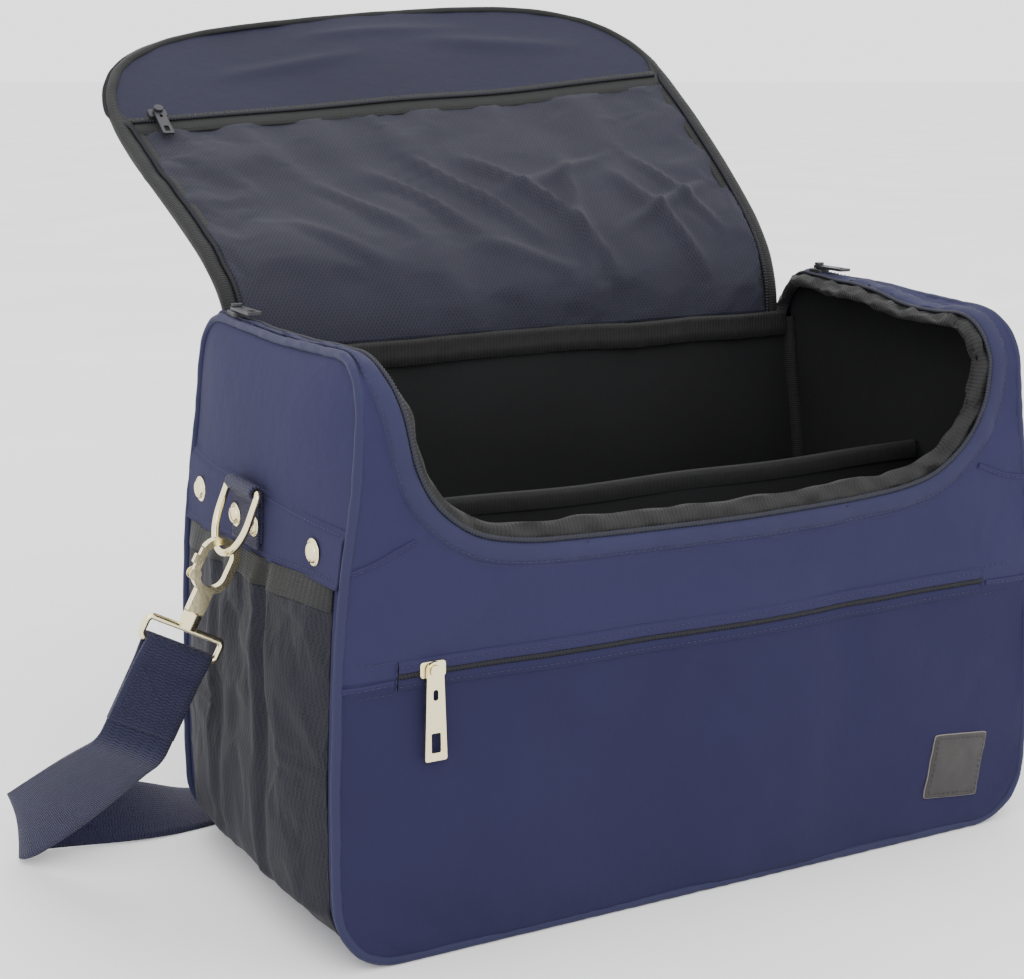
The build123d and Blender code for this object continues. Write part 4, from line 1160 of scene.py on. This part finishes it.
def pad(name, centre, half, thick, crown, axes, material, replaces, slot, seed, sag=0.0, count=(60, 26),
    fill=0.45, pull=0.0):
    """A closed pad: two crowned faces that meet at a rounded edge. Axes are its length, height and facing."""
    a, b = np.meshgrid(bunched(count[0], 0.96), bunched(count[1], 0.96))
    long, high, face = (np.asarray(v, float) for v in axes)
    edge = (1 - np.abs(a) ** 14) * (1 - np.abs(b) ** 14)
    edge = np.clip(edge, 0, 1) ** 0.4
    middle = (1 - a**2) * (1 - b**2)
    u, v = a * half[0] * (1 - pull * (1 - b**2)), b * half[1]
    drop = sag * (1 - a**2) * np.clip((b + 1) / 2, 0, 1)
    flat = np.stack([u, v, 0 * u], -1)
    grids = []
    for way in (1, -1):
        h = edge * thick / 2 + way * 0 + crown * middle + 0.0006 * edge * ripple(flat, 0.05, seed + way)
        grids.append(np.asarray(centre) + u[..., None] * long + (v - drop)[..., None] * high
            + (way * h)[..., None] * face)
    rows, columns = a.shape
    points = np.concatenate([grids[0].reshape(-1, 3), grids[1].reshape(-1, 3)])
    n = rows * columns
    faces = quads(rows, columns)
    faces = faces + [tuple(n + k for k in f[::-1]) for f in quads(rows, columns)]
    ring = [i for i in range(columns)] + [r * columns + columns - 1 for r in range(1, rows)]
    ring += [(rows - 1) * columns + c for c in range(columns - 2, -1, -1)] + [r * columns
        for r in range(rows - 2, 0, -1)]
    for p, q in zip(ring, ring[1:] + ring[:1]):
        faces.append((p, n + p, n + q, q))
    flat_uv = np.concatenate([np.stack([u.ravel(), v.ravel()], 1)] * 2)
    made = piece(name, points, faces, material, "bag", slot, flat_uv, replaces=replaces)
    bm_fix(made)
    edge_of = np.concatenate([(np.maximum(np.abs(a), np.abs(b)) > 0.985).ravel()] * 2)
    settle(made, edge_of, shrink=-0.01, pressure=0.25, cap=0.0025, frames=12)
    return made


def bm_fix(made):
    """Makes a closed mesh's faces point outwards."""
    import bmesh

    bm = bmesh.new()
    bm.from_mesh(made.data)
    bmesh.ops.recalc_face_normals(bm, faces=bm.faces)
    bm.to_mesh(made.data)
    bm.free()
    made.data.polygons.foreach_set("use_smooth", [True] * len(made.data.polygons))


pad("divider_pad", (0, -0.0155, 0.1105), (0.2085, 0.1015), 0.0046, 0.0008,
    ((1, 0, 0), (0, 0, 1), (0, 1, 0)), black_lining, ("divider",), "black_lining", 91, sag=0.003,
    count=(70, 36), pull=0.0)
pad("floor_cushion", (0, 0, 0.0072), (0.184, 0.1005), 0.0046, 0.0006, ((1, 0, 0), (0, 1, 0), (0, 0, 1)),
    black_lining, ("floor_pad",), "black_lining", 95, count=(64, 36))

# binding over the divider's top edge, and tapes over the cabin's corner seams
x = np.linspace(-0.205, 0.205, 120)
top = 0.2122 - 0.0031 * (1 - (x / 0.2085) ** 2) + 0.0005 * np.sin(x * 47)
path = np.stack([x, -0.0155 + 0.0006 * np.sin(x * 31), top], 1)
hem = [(-3.0, -9), (-3.3, -6), (-3.2, -2), (-2.2, 0.6), (0, 1.4), (2.2, 0.6), (3.2, -2), (3.3, -6), (3.0, -9)]
grid_piece("divider_binding", sweep(path, np.repeat([[0, 0, 1.0]], 120, 0), np.array(hem) * MM),
    divider_tape, "bag", slot="black_lining")
points, rows = [], []
all_points, all_faces, all_uv = [], [], []
for sx in (-1, 1):
    for back, high in ((1, 0.276), (-1, 0.192)):
        z = np.linspace(0.018, high, 60)
        inner_x = seam_x(z) - 0.0085
        y0 = back * (SEAM_Y - 0.0055)
        centre = warp(np.stack([sx * inner_x, np.full(60, y0), z], 1))
        out = np.repeat([[-sx * 0.7, -back * 0.7, 0]], 60, 0)
        wave = 0.25 * ripple(centre, 0.02, 97)
        shape = np.array([(-4.6, -0.4), (-3.6, 0.7), (0, 1.6), (3.6, 0.7), (4.6, -0.4)]) * MM
        prof = np.repeat(shape[None], 60, 0)
        prof[:, :, 1] += (wave * MM)[:, None]
        grid = sweep(centre, out, prof)
        base = len(all_points)
        all_points += list(grid.reshape(-1, 3))
        all_faces += [tuple(base + k for k in f) for f in quads(60, 5)]
        all_uv += list(grid_uv(grid))
piece("corner_tapes", all_points, all_faces, black_tape, "bag", "black_binding", all_uv,
    replaces=("corner_bindings",))

# ---------------------------------------------------------------- lid

HINGE = np.array([0.0, 0.112, 0.303])
LID_ANGLE = radians(35)
LID_UP = np.array([0, -sin(LID_ANGLE), cos(LID_ANGLE)])
# Half width of the lid at distances from the hinge, and the slope of its two edges
SHAPE_L = np.array([-40, 0, 50, 100, 150, 190, 215, 235, 252, 266, 278, 286, 292, 296, 298, 299]) * MM
SHAPE_W = np.array([187, 188, 190, 192.5, 195, 195.5, 194, 189, 180, 168, 150, 132, 110, 78, 45, 8]) * MM
SLOPE_L = np.array([-40, -20, 0, 20, 50, 100, 150, 200, 250, 310]) * MM
SLOPE_RIGHT = np.array([90, 84, 70, 54, 41.5, 36.5, 34.5, 34, 32, 29])
SLOPE_LEFT = np.array([90, 82, 60, 39, 28, 25.5, 25, 31, 32, 24])
FOLD_FROM, FOLD_TO = 0.200, 0.238
LOW_L = -0.030

_l = np.linspace(LOW_L, 0.31, 341)


def _edge_run(slopes):
    """Heights and depths along one edge of the lid, from its slopes."""
    angle = np.radians(np.interp(_l, SLOPE_L, slopes))
    step = _l[1] - _l[0]
    y = 0.1045 + np.concatenate([[0], np.cumsum(np.cos(angle[:-1]) * step)])
    z = HINGE[2] + LOW_L + np.concatenate([[0], np.cumsum(np.sin(angle[:-1]) * step)])
    return y, z, angle


right_run, left_run = _edge_run(SLOPE_RIGHT), _edge_run(SLOPE_LEFT)


def lid_width(l):
    return np.interp(l, SHAPE_L, SHAPE_W)


def lid(x, l, h=0.0, drape=1.0):
    """A point on the lid: across, away from the hinge, and up from its middle on the inner side."""
    x, l = np.broadcast_arrays(np.asarray(x, float), np.asarray(l, float))
    share = np.clip(0.5 + x / 0.4, 0, 1)
    y = np.interp(l, _l, left_run[0]) * (1 - share) + np.interp(l, _l, right_run[0]) * share
    z = np.interp(l, _l, left_run[1]) * (1 - share) + np.interp(l, _l, right_run[1]) * share
    angle = np.interp(l, _l, left_run[2]) * (1 - share) + np.interp(l, _l, right_run[2]) * share
    rim = np.clip(1 - (x / np.maximum(lid_width(l), 0.02)) ** 2, 0, 1)
    flat = np.stack([x, l, 0 * x], -1)
    wave = MM * drape * rim * (1.3 * ripple(flat, 0.13, 101) - 2.2 * np.sin(np.clip(l / 0.29, 0, 1) * pi))
    up = h + wave
    return np.stack([x, y - np.sin(angle) * up, z + np.cos(angle) * up], -1)


def lid_normal(x, l):
    e = 1e-4
    return unit(lid(x, l, e, 0) - lid(x, l, 0, 0))


def lid_grid(l0, l1, rows, columns, h, narrow=0.0):
    u, l = np.meshgrid(bunched(columns, 0.9), np.linspace(l0, l1, rows))
    return lid(u * (lid_width(l) - narrow), l, h), u, l


def lid_piece(name, l0, l1, rows, columns, h, material, slot, replaces, joint, narrow=0.003,
    thickness=0.0014, inner=True, folds=(), low_by=0.0, shrink=None, extra=None):
    """A sheet of the lid between two distances from the hinge; at the hinge and the fold it is only fixed
    where it is made, and any other joint is a body it rides on.
    """
    grid, u, l = lid_grid(l0, l1, rows, columns, h, narrow)
    flat = np.stack([u * (lid_width(l) - narrow), l], -1)
    lift = np.zeros(l.shape)
    for a, b, width, height in folds:
        lift += ridge((a[0], a[1] - low_by),
            (b[0] + 0.25 * (b[0] - a[0]), b[1] - low_by + 0.25 * (b[1] - a[1])), flat, width * 0.85,
            height * FOLD_DEPTH)
    if extra is not None:
        lift += extra(flat)
    grid = grid + lift[..., None] * lid_normal(flat[..., 0], l)
    facing = (0, -0.7, 0.7) if inner else (0, 0.7, -0.7)
    made = grid_piece(name, grid, material, None, toward=facing, uv=flat.reshape(-1, 2), slot=slot,
        replaces=replaces, thickness=thickness)
    if shrink:
        hold = np.zeros(l.shape, bool)
        hold[[0, -1]] = hold[:, [0, -1]] = True
        settle(made, hold.ravel(), shrink=shrink, cap=0.004, inward=0.0004, frames=16)
    bend(made, joint)
    return made


def bend(made, joint):
    if joint == "hinge":
        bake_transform(made)
    elif joint == "fold":
        a, b = lid(0, FOLD_FROM, 0, 0), lid(0, FOLD_TO, 0, 0)
        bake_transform(made)
    else:
        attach(made, joint)


SPLIT, ZIP_LOW, ZIP_HIGH = 0.192, 0.178, 0.196
FOLD_DEPTH = 1.6
lid_piece("lid_cloth", LOW_L, SPLIT + 0.002, 96, 84, -0.0024, navy_cloth, "navy_fabric",
    ("lid_cover", "hinge_band"), "hinge", inner=False, shrink=-0.004)
lid_piece("flap_cloth", SPLIT - 0.0005, 0.2985, 50, 84, -0.0024, navy_cloth, "navy_fabric", ("flap_cover",),
    "fold", inner=False)
NET_FOLDS = [
    ((-0.060, 0.150), (-0.020, 0.090), 0.006, 0.0034), ((-0.030, 0.165), (0.020, 0.080), 0.005, 0.0036),
    ((0.005, 0.160), (0.045, 0.100), 0.005, 0.0030), ((0.040, 0.120), (0.065, 0.050), 0.006, 0.0036),
    ((0.075, 0.150), (0.055, 0.060), 0.005, 0.0030), ((0.100, 0.130), (0.130, 0.050), 0.006, 0.0034),
    ((0.085, 0.070), (0.150, 0.100), 0.006, 0.0026), ((-0.100, 0.140), (-0.060, 0.085), 0.007, 0.0026),
    ((-0.020, 0.070), (0.030, 0.045), 0.007, 0.0022), ((0.120, 0.145), (0.150, 0.080), 0.005, 0.0026),
    ((-0.130, 0.100), (-0.090, 0.060), 0.008, 0.0018), ((0.010, 0.110), (0.090, 0.135), 0.006, 0.0018),
]


def net_slack(flat):
    return 0.0008 * ripple(np.stack([flat[..., 0], flat[..., 1], 0 * flat[..., 0]], -1), 0.035, 111) + 0.0012


lid_piece("lid_net", -0.024, ZIP_LOW + 0.002, 90, 96, 0.0018, lid_net, "lid_mesh", ("lid_mesh_pocket",),
    "hinge", narrow=0.010, thickness=0.0007, folds=NET_FOLDS, low_by=0.032, shrink=-0.012, extra=net_slack)
lid_piece("flap_lining", ZIP_HIGH - 0.001, 0.2975, 50, 84, 0.0022, navy_lining_cloth, "navy_fabric", (),
    "fold", narrow=0.004,
          folds=[((-0.12, 0.235), (-0.03, 0.245), 0.008, 0.0016),
          ((0.03, 0.26), (0.12, 0.24), 0.009, 0.0016), ((-0.05, 0.275), (0.05, 0.270), 0.007, 0.0012)])

# zip of the lid's pocket
for name, shape, material, slot, replaces in (
    ("lid_zip_tape", [(ZIP_LOW - 0.001, 0.0022), (ZIP_LOW, 0.0034), (0.187, 0.0033), (ZIP_HIGH, 0.0034),
    (ZIP_HIGH + 0.001, 0.0022)], black_tape, "black_zip", ("lid_pocket_zip",)),
):
    x = np.linspace(-1, 1, 110) * (0.195 - 0.009)
    grid = np.stack([lid(x, l, h) for l, h in shape], 1)
    grid_piece(name, grid, material, "lid", slot=slot, replaces=replaces, thickness=0.0006,
        toward=(0, -0.7, 0.7))
x = np.linspace(-0.185, 0.185, 240)
coil = lid(x, np.full(240, 0.191), 0.0040)
grid_piece("lid_zip_coil", ribbed(coil, lid_normal(x, np.full(240, 0.191)), 0.0017, 0.0019, squash=0.6),
    coil_dark, "lid", close_columns=True, slot="black_zip")

# black binding round the lid, with the zip half inside it
rim_l = np.concatenate([np.linspace(LOW_L, 0.28, 122),
    0.28 + 0.0188 * np.sin(np.linspace(0, pi / 2, 40)[1:])])
right_rim = np.stack([lid_width(rim_l) - 0.001, rim_l], 1)
rim_flat = np.vstack([right_rim, (right_rim * [-1, 1])[::-1][1:]])
run = lengths(rim_flat)
even = np.arange(0, run[-1], 0.003)
rim_flat = np.stack([np.interp(even, run, rim_flat[:, k]) for k in range(2)], 1)
for _ in range(3):
    rim_flat[1:-1] = 0.25 * rim_flat[:-2] + 0.5 * rim_flat[1:-1] + 0.25 * rim_flat[2:]
t = along(rim_flat)
rim_in = np.stack([-t[:, 1], t[:, 0]], 1)
if rim_in[5, 0] > 0:
    rim_in = -rim_in


def lid_rim(offset, height):
    """The lid's edge moved in by an offset and up from the middle of its thickness."""
    flat = rim_flat + rim_in * np.reshape(offset, (-1, 1))
    return lid(flat[:, 0], flat[:, 1], height, 0)


rim_run = lengths(rim_flat)
rumple = ripple(np.stack([rim_run, 0 * rim_run, 0 * rim_run], -1), 0.02, 121)
RIM_SHAPE = [(7.5, -3.0), (4.5, -3.6), (1.5, -3.4), (-0.6, -2.0), (-1.2, 0.2), (-0.6, 2.4), (1.5, 3.7),
    (4.5, 3.9), (6.6, 3.3), (7.2, 3.0), (9.0, 3.2), (12.5, 3.1), (14.0, 2.8), (14.3, 2.0)]
# beyond the zip of the pocket only a narrow binding shows, with the zip at its very edge
thin = np.clip((rim_flat[:, 1] - 0.180) / 0.030, 0, 1)
thin = thin * thin * (3 - 2 * thin)
slim = 1 - thin * np.array([0, 0, 0, 0, 0, 0, 0, 0.25, 0.3, 0.32, 0.42, 0.58, 0.6, 0.6])[:, None]
columns = [lid_rim((o * slim[k] + 0.35 * rumple * (k > 3)) * MM, (h + 0.3 * rumple * (h > 0)) * MM) for k,
    (o, h) in enumerate(RIM_SHAPE)]
rim_grid = np.stack(columns, 1)
coil_line = lid_rim((8.2 - 9.6 * thin + 0.2 * rumple) * MM, (4.0 - 3.6 * thin + 0.3 * rumple) * MM)
coil_normal = lid_normal(rim_flat[:, 0], rim_flat[:, 1])
cuts = np.nonzero(rim_flat[:, 1] > SPLIT)[0]
first, last = cuts[0], cuts[-1]
for name, span, joint, replaces in (
    ("right", slice(0, first + 1), "hinge", ("lid_binding",)),
    ("flap", slice(first, last + 1), "fold", ("flap_binding",)),
    ("left", slice(last, None), "hinge", ()),
):
    made = grid_piece(f"lid_binding_{name}", rim_grid[span], lid_tape, None, slot="black_binding",
        replaces=replaces)
    bend(made, joint)
    made = grid_piece(f"lid_rim_coil_{name}", ribbed(coil_line[span], coil_normal[span], 0.0014, 0.0019),
        coil_dark, None, close_columns=True, slot="black_zip")
    bend(made, joint)

# band over the lower seam of the net, inside the back wall
x = np.linspace(-0.1915, 0.1915, 134)
spot = np.stack([x, 0 * x, 0 * x], -1)
rows = []
for up, out in ((-14.5, 0.3), (-14.0, 2.2), (-8, 2.8), (-2.0, 2.6), (0.2, 3.2), (1.2, 1.8), (1.4, 0.2)):
    z = 0.2785 + up * MM + 0.0006 * ripple(spot, 0.05, 131)
    rows.append(np.stack([x, 0.1015 - out * MM - 0.0004 * ripple(spot, 0.018, 132), z], 1))
grid_piece("hinge_tape", np.stack(rows, 1), ruffle_tape, "bag", slot="black_binding", toward=(0, -1, 0),
    replaces=("hinge_binding",))

# stitching on the lid
rows = []
for l in (ZIP_LOW + 0.0015, ZIP_HIGH - 0.0015):
    x = np.linspace(-0.184, 0.184, 130)
    rows.append((lid(x, np.full(130, l), 0.0036), lid_normal(x, np.full(130, l))))
stitch_piece("lid_zip_stitching", rows, 0.0034, (0.0023, 0.00035, 0.0003), thread_black, "lid", "black_zip")

# slider and puller of the lid's zip, at the height of the draped lid
SLIDER_X, SLIDER_L = -0.168, 0.191


def moved_copy(node, body, shift, material, slot):
    """A piece with a CAD node's shape, moved a little to where the cloth lies."""
    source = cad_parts[node]
    mesh = source.data
    points = np.array([v.co for v in mesh.vertices]) + shift
    faces = [tuple(p.vertices) for p in mesh.polygons]
    made = piece(node + "_fitted", points, faces, material, body, slot, replaces=(node,))
    bevel = made.modifiers.new("soft_edges", "BEVEL")
    bevel.width, bevel.segments, bevel.limit_method, bevel.angle_limit = 0.0004, 2, "ANGLE", radians(35)
    made.data.shade_flat()
    return made


for name in ("left", "right"):
    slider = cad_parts[f"opening_slider_{name}"]
    seat = np.array([v.co for v in slider.data.vertices]).mean(0)
    for part, body in (("slider", "bag"), ("puller", f"opening_puller_{name}")):
        moved_copy(f"opening_{part}_{name}", body, warp(seat) - seat, dark_metal, "dark_metal")

here = lid(SLIDER_X, SLIDER_L, 0.0040)
cad_here = HINGE + [SLIDER_X, SLIDER_L * cos(LID_ANGLE), SLIDER_L * sin(LID_ANGLE)] + LID_UP * 0.0025
gap = float((here - cad_here) @ LID_UP)
for node, body in (("lid_slider", "lid_zip_slider"), ("lid_puller", "lid_zip_puller")):
    moved_copy(node, body, LID_UP * gap, dark_metal, "dark_metal")

# ---------------------------------------------------------------- shoulder strap

HOOK_TILT, RING_TILT = radians(28), radians(22)
BOW = np.array([RING_X + 0.035 * sin(RING_TILT), 0, RING_Z - 0.035 * cos(RING_TILT)])
HOOK_X, HOOK_Y = np.array([cos(HOOK_TILT), 0, sin(HOOK_TILT)]), np.array([-sin(HOOK_TILT), 0, cos(HOOK_TILT)])
LOOP_LOW = -0.0547
STRAP_FOLD, STRAP_HALF = 0.045, 0.019
strap_start = BOW + HOOK_Y * (LOOP_LOW - STRAP_FOLD)
STRAP_ROUTE = [
    ((0.2915, 0.016, 0.0845), (0.87, 0.10, 0.48)),
    ((0.298, 0.041, 0.0672), (0.77, 0.24, 0.59)),
    ((0.306, 0.066, 0.049), (0.60, 0.30, 0.74)),
    ((0.315, 0.087, 0.0335), (0.38, 0.28, 0.88)),
    ((0.3205, 0.102, 0.0235), (0.15, 0.15, 0.98)),
    ((0.319, 0.113, 0.0202), (0, 0, 1)),
    ((0.310, 0.118, 0.020), (0, 0.05, 1)),
    ((0.292, 0.118, 0.0198), (-0.03, 0.2, 0.98)),
    ((0.268, 0.1165, 0.0178), (-0.06, 0.5, 0.86)),
    ((0.243, 0.117, 0.0132), (-0.10, 0.8, 0.59)),
    ((0.214, 0.123, 0.0068), (-0.12, 0.96, 0.25)),
    ((0.180, 0.131, 0.0024), (-0.10, 0.99, 0.06)),
    ((0.140, 0.137, 0.0016), (-0.05, 1, 0)),
    ((0.090, 0.140, 0.0016), (0, 1, 0)),
    ((0.045, 0.141, 0.0016), (0, 1, 0)),
    ((0, 0.1413, 0.0016), (0, 1, 0)),
]
# it starts between the layers of its sewn end and leaves them straight
half_route = [(tuple(strap_start + HOOK_Y * out), tuple(HOOK_X)) for out in (0.022, 0, -0.012)] + STRAP_ROUTE
route = [((-x, y, z), (-a, b, c)) for (x, y, z), (a, b, c) in half_route]
route += [((x, y, z), (-a, b, c)) for (x, y, z), (a, b, c) in half_route[-2::-1]]
# the width's direction keeps one sense from end to end, so it is turned over on the right half
middle = len(half_route) - 1
widths = [np.array(w) for _, w in route]
for k in range(1, len(widths)):
    if widths[k] @ widths[k - 1] < 0:
        widths[k] = -widths[k]
curve = bpy.data.curves.new("strap_route", "CURVE")
curve.dimensions = "3D"
curve.resolution_u = 14
spline = curve.splines.new("NURBS")
spline.points.add(len(route) - 1)
for point, (place, _) in zip(spline.points, route):
    point.co = (*place, 1)
spline.order_u = 3
spline.use_endpoint_u = True
curve_object = bpy.data.objects.new("strap_route", curve)
bpy.context.scene.collection.objects.link(curve_object)
line_mesh = bpy.data.meshes.new_from_object(curve_object)
strap_line = np.array([v.co for v in line_mesh.vertices])
bpy.data.objects.remove(curve_object)
places = np.array([place for place, _ in route])
run = lengths(strap_line)
even = np.linspace(0, run[-1], 460)
strap_line = np.stack([np.interp(even, run, strap_line[:, k]) for k in range(3)], 1)
marks = []
low = 0
for place in places:
    gaps = np.linalg.norm(strap_line[low:low + 120] - place, axis=1)
    low = low + int(np.argmin(gaps))
    marks.append(low)
wide = np.stack([np.interp(np.arange(460), marks, np.array(widths)[:, k]) for k in range(3)], 1)
for _ in range(12):
    wide[1:-1] = 0.25 * wide[:-2] + 0.5 * wide[1:-1] + 0.25 * wide[2:]
t = along(strap_line)
wide = unit(wide - (wide * t).sum(1, keepdims=True) * t)
face = np.cross(t, wide)
across = np.linspace(-STRAP_HALF, STRAP_HALF, 11)
cup = 0.0006 * (1 - (across / STRAP_HALF) ** 2)
strap_grid = strap_line[:, None] + wide[:, None] * across[None, :, None] + face[:,
    None] * (cup[None, :, None] - 0.0003)
strap = grid_piece("shoulder_strap_webbing", strap_grid, navy_webbing, "bag", slot="navy_webbing",
    thickness=0.0016, offset=0.0, replaces=("shoulder_strap",))
strap_ends = []
for side, name in ((-1, "left"), (1, "right")):
    bar = BOW + HOOK_Y * LOOP_LOW
    turn = np.linspace(0, pi, 15)
    ring = [(-0.0030 * cos(a), -0.0030 * sin(a)) for a in turn]
    line = smooth_line(np.array([(-0.0010, 0.045), (-0.0010, 0.034), (-0.0011, 0.022), (-0.0014, 0.011),
        (-0.0026, 0.004)] + ring + [(0.0026, 0.004), (0.0014, 0.011), (0.0011, 0.022), (0.0010, 0.034),
        (0.0010, 0.045)]), 0.0015)
    centre = bar + line[:, :1] * np.array([0, -1.0, 0]) - line[:, 1:] * HOOK_Y
    grid = centre[:, None] + HOOK_X * np.linspace(-STRAP_HALF, STRAP_HALF, 11)[None, :, None]
    grid = grid * [side, 1, 1]
    end = grid_piece(f"strap_end_webbing_{name}", grid, navy_webbing, "bag", slot="navy_webbing",
        thickness=0.0017, offset=0.0, replaces=(f"strap_end_{name}",))
    rows = []
    for way in (-1, 1):
        corners = [(-0.015, 0.014), (0.015, 0.014), (0.015, 0.040), (-0.015, 0.040)]
        for a, b in ((0, 1), (1, 2), (2, 3), (3, 0), (0, 2), (1, 3)):
            t01 = np.linspace(0, 1, 12)[:, None]
            flat = np.array(corners[a]) * (1 - t01) + np.array(corners[b]) * t01
            path = bar + HOOK_X * flat[:, :1] - HOOK_Y * flat[:, 1:] + np.array([0, way * 0.0021, 0])
            rows.append((path * [side, 1, 1], np.repeat([[0, float(way), 0]], 12, 0)))
    sewn = stitch_piece(f"strap_end_stitching_{name}", rows, 0.003, (0.0022, 0.00035, 0.0003), thread_navy,
        "bag", "navy_webbing")
    strap_ends += [end, sewn]

# ---------------------------------------------------------------- surface coordinates of the cloth sheets, read and left unused


def cut(name):
    """Reads a sheet's surface coordinates, which hold the size of its flat pattern; nothing is declared or
    kept.
    """
    made = bpy.data.objects[name]
    mesh = made.data
    uv = np.empty(len(mesh.loops) * 2, np.float32)
    mesh.uv_layers["cloth"].data.foreach_get("uv", uv)
    uv = uv.reshape(-1, 2).astype(float)


for name, held, rests_on in (
    ("front_cloth", "stretched", "seam_piping_cord"), ("back_cloth", "stretched", "seam_piping_cord"),
    ("end_cloth_left", "stretched", "seam_piping_cord"), ("end_cloth_right", "stretched", "seam_piping_cord"),
    ("base_cloth", "stretched", "seam_piping_cord"), ("lid_cloth", "hung", "back_cloth"),
    ("flap_cloth", "hung", "lid_cloth"),
    ("lid_net", "stretched", "lid_cloth"), ("flap_lining", "stretched", "flap_cloth"),
    ("yoke_left", "stretched", "end_cloth_left"), ("yoke_right", "stretched", "end_cloth_right"),
):
    cut(name)
for side in ("left", "right"):
    cut(f"mesh_pocket_net_{side}")

# ---------------------------------------------------------------- stage and light

floor_mesh = bpy.data.meshes.new("floor")
floor_mesh.from_pydata([(-60, -60, 0), (60, -60, 0), (60, 60, 0), (-60, 60, 0)], [], [(0, 1, 2, 3)])
floor = bpy.data.objects.new("floor", floor_mesh)
bpy.context.scene.collection.objects.link(floor)
floor_mesh.materials.append(plain("floor_paper", (0.95, 0.95, 0.95), 0.95, 3.0, Specular_IOR_Level=0.1))
floor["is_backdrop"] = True
world = bpy.data.worlds.new("studio")
bpy.context.scene.world = world
world.use_nodes = True
backdrop = world.node_tree.nodes["Background"]
backdrop.inputs["Color"].default_value = (1, 1, 1, 1)
backdrop.inputs["Strength"].default_value = 2.1


def lamp(name, place, target, size, power):
    data = bpy.data.lights.new(name, "AREA")
    data.shape = "RECTANGLE"
    data.size, data.size_y = size
    data.energy = power
    made = bpy.data.objects.new(name, data)
    bpy.context.scene.collection.objects.link(made)
    made.location = place
    made.rotation_mode = "QUATERNION"
    made.rotation_quaternion = (Vector(target) - Vector(place)).to_track_quat("-Z", "Y")


lamp("key", (-0.7, -1.9, 1.8), (0, 0, 0.15), (1.6, 1.6), 17)
lamp("fill", (1.8, -1.4, 1.0), (0, 0, 0.2), (1.6, 1.6), 3)
lamp("top", (0.1, 0.3, 2.3), (0, 0, 0.2), (2.0, 2.0), 8)

low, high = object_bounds()
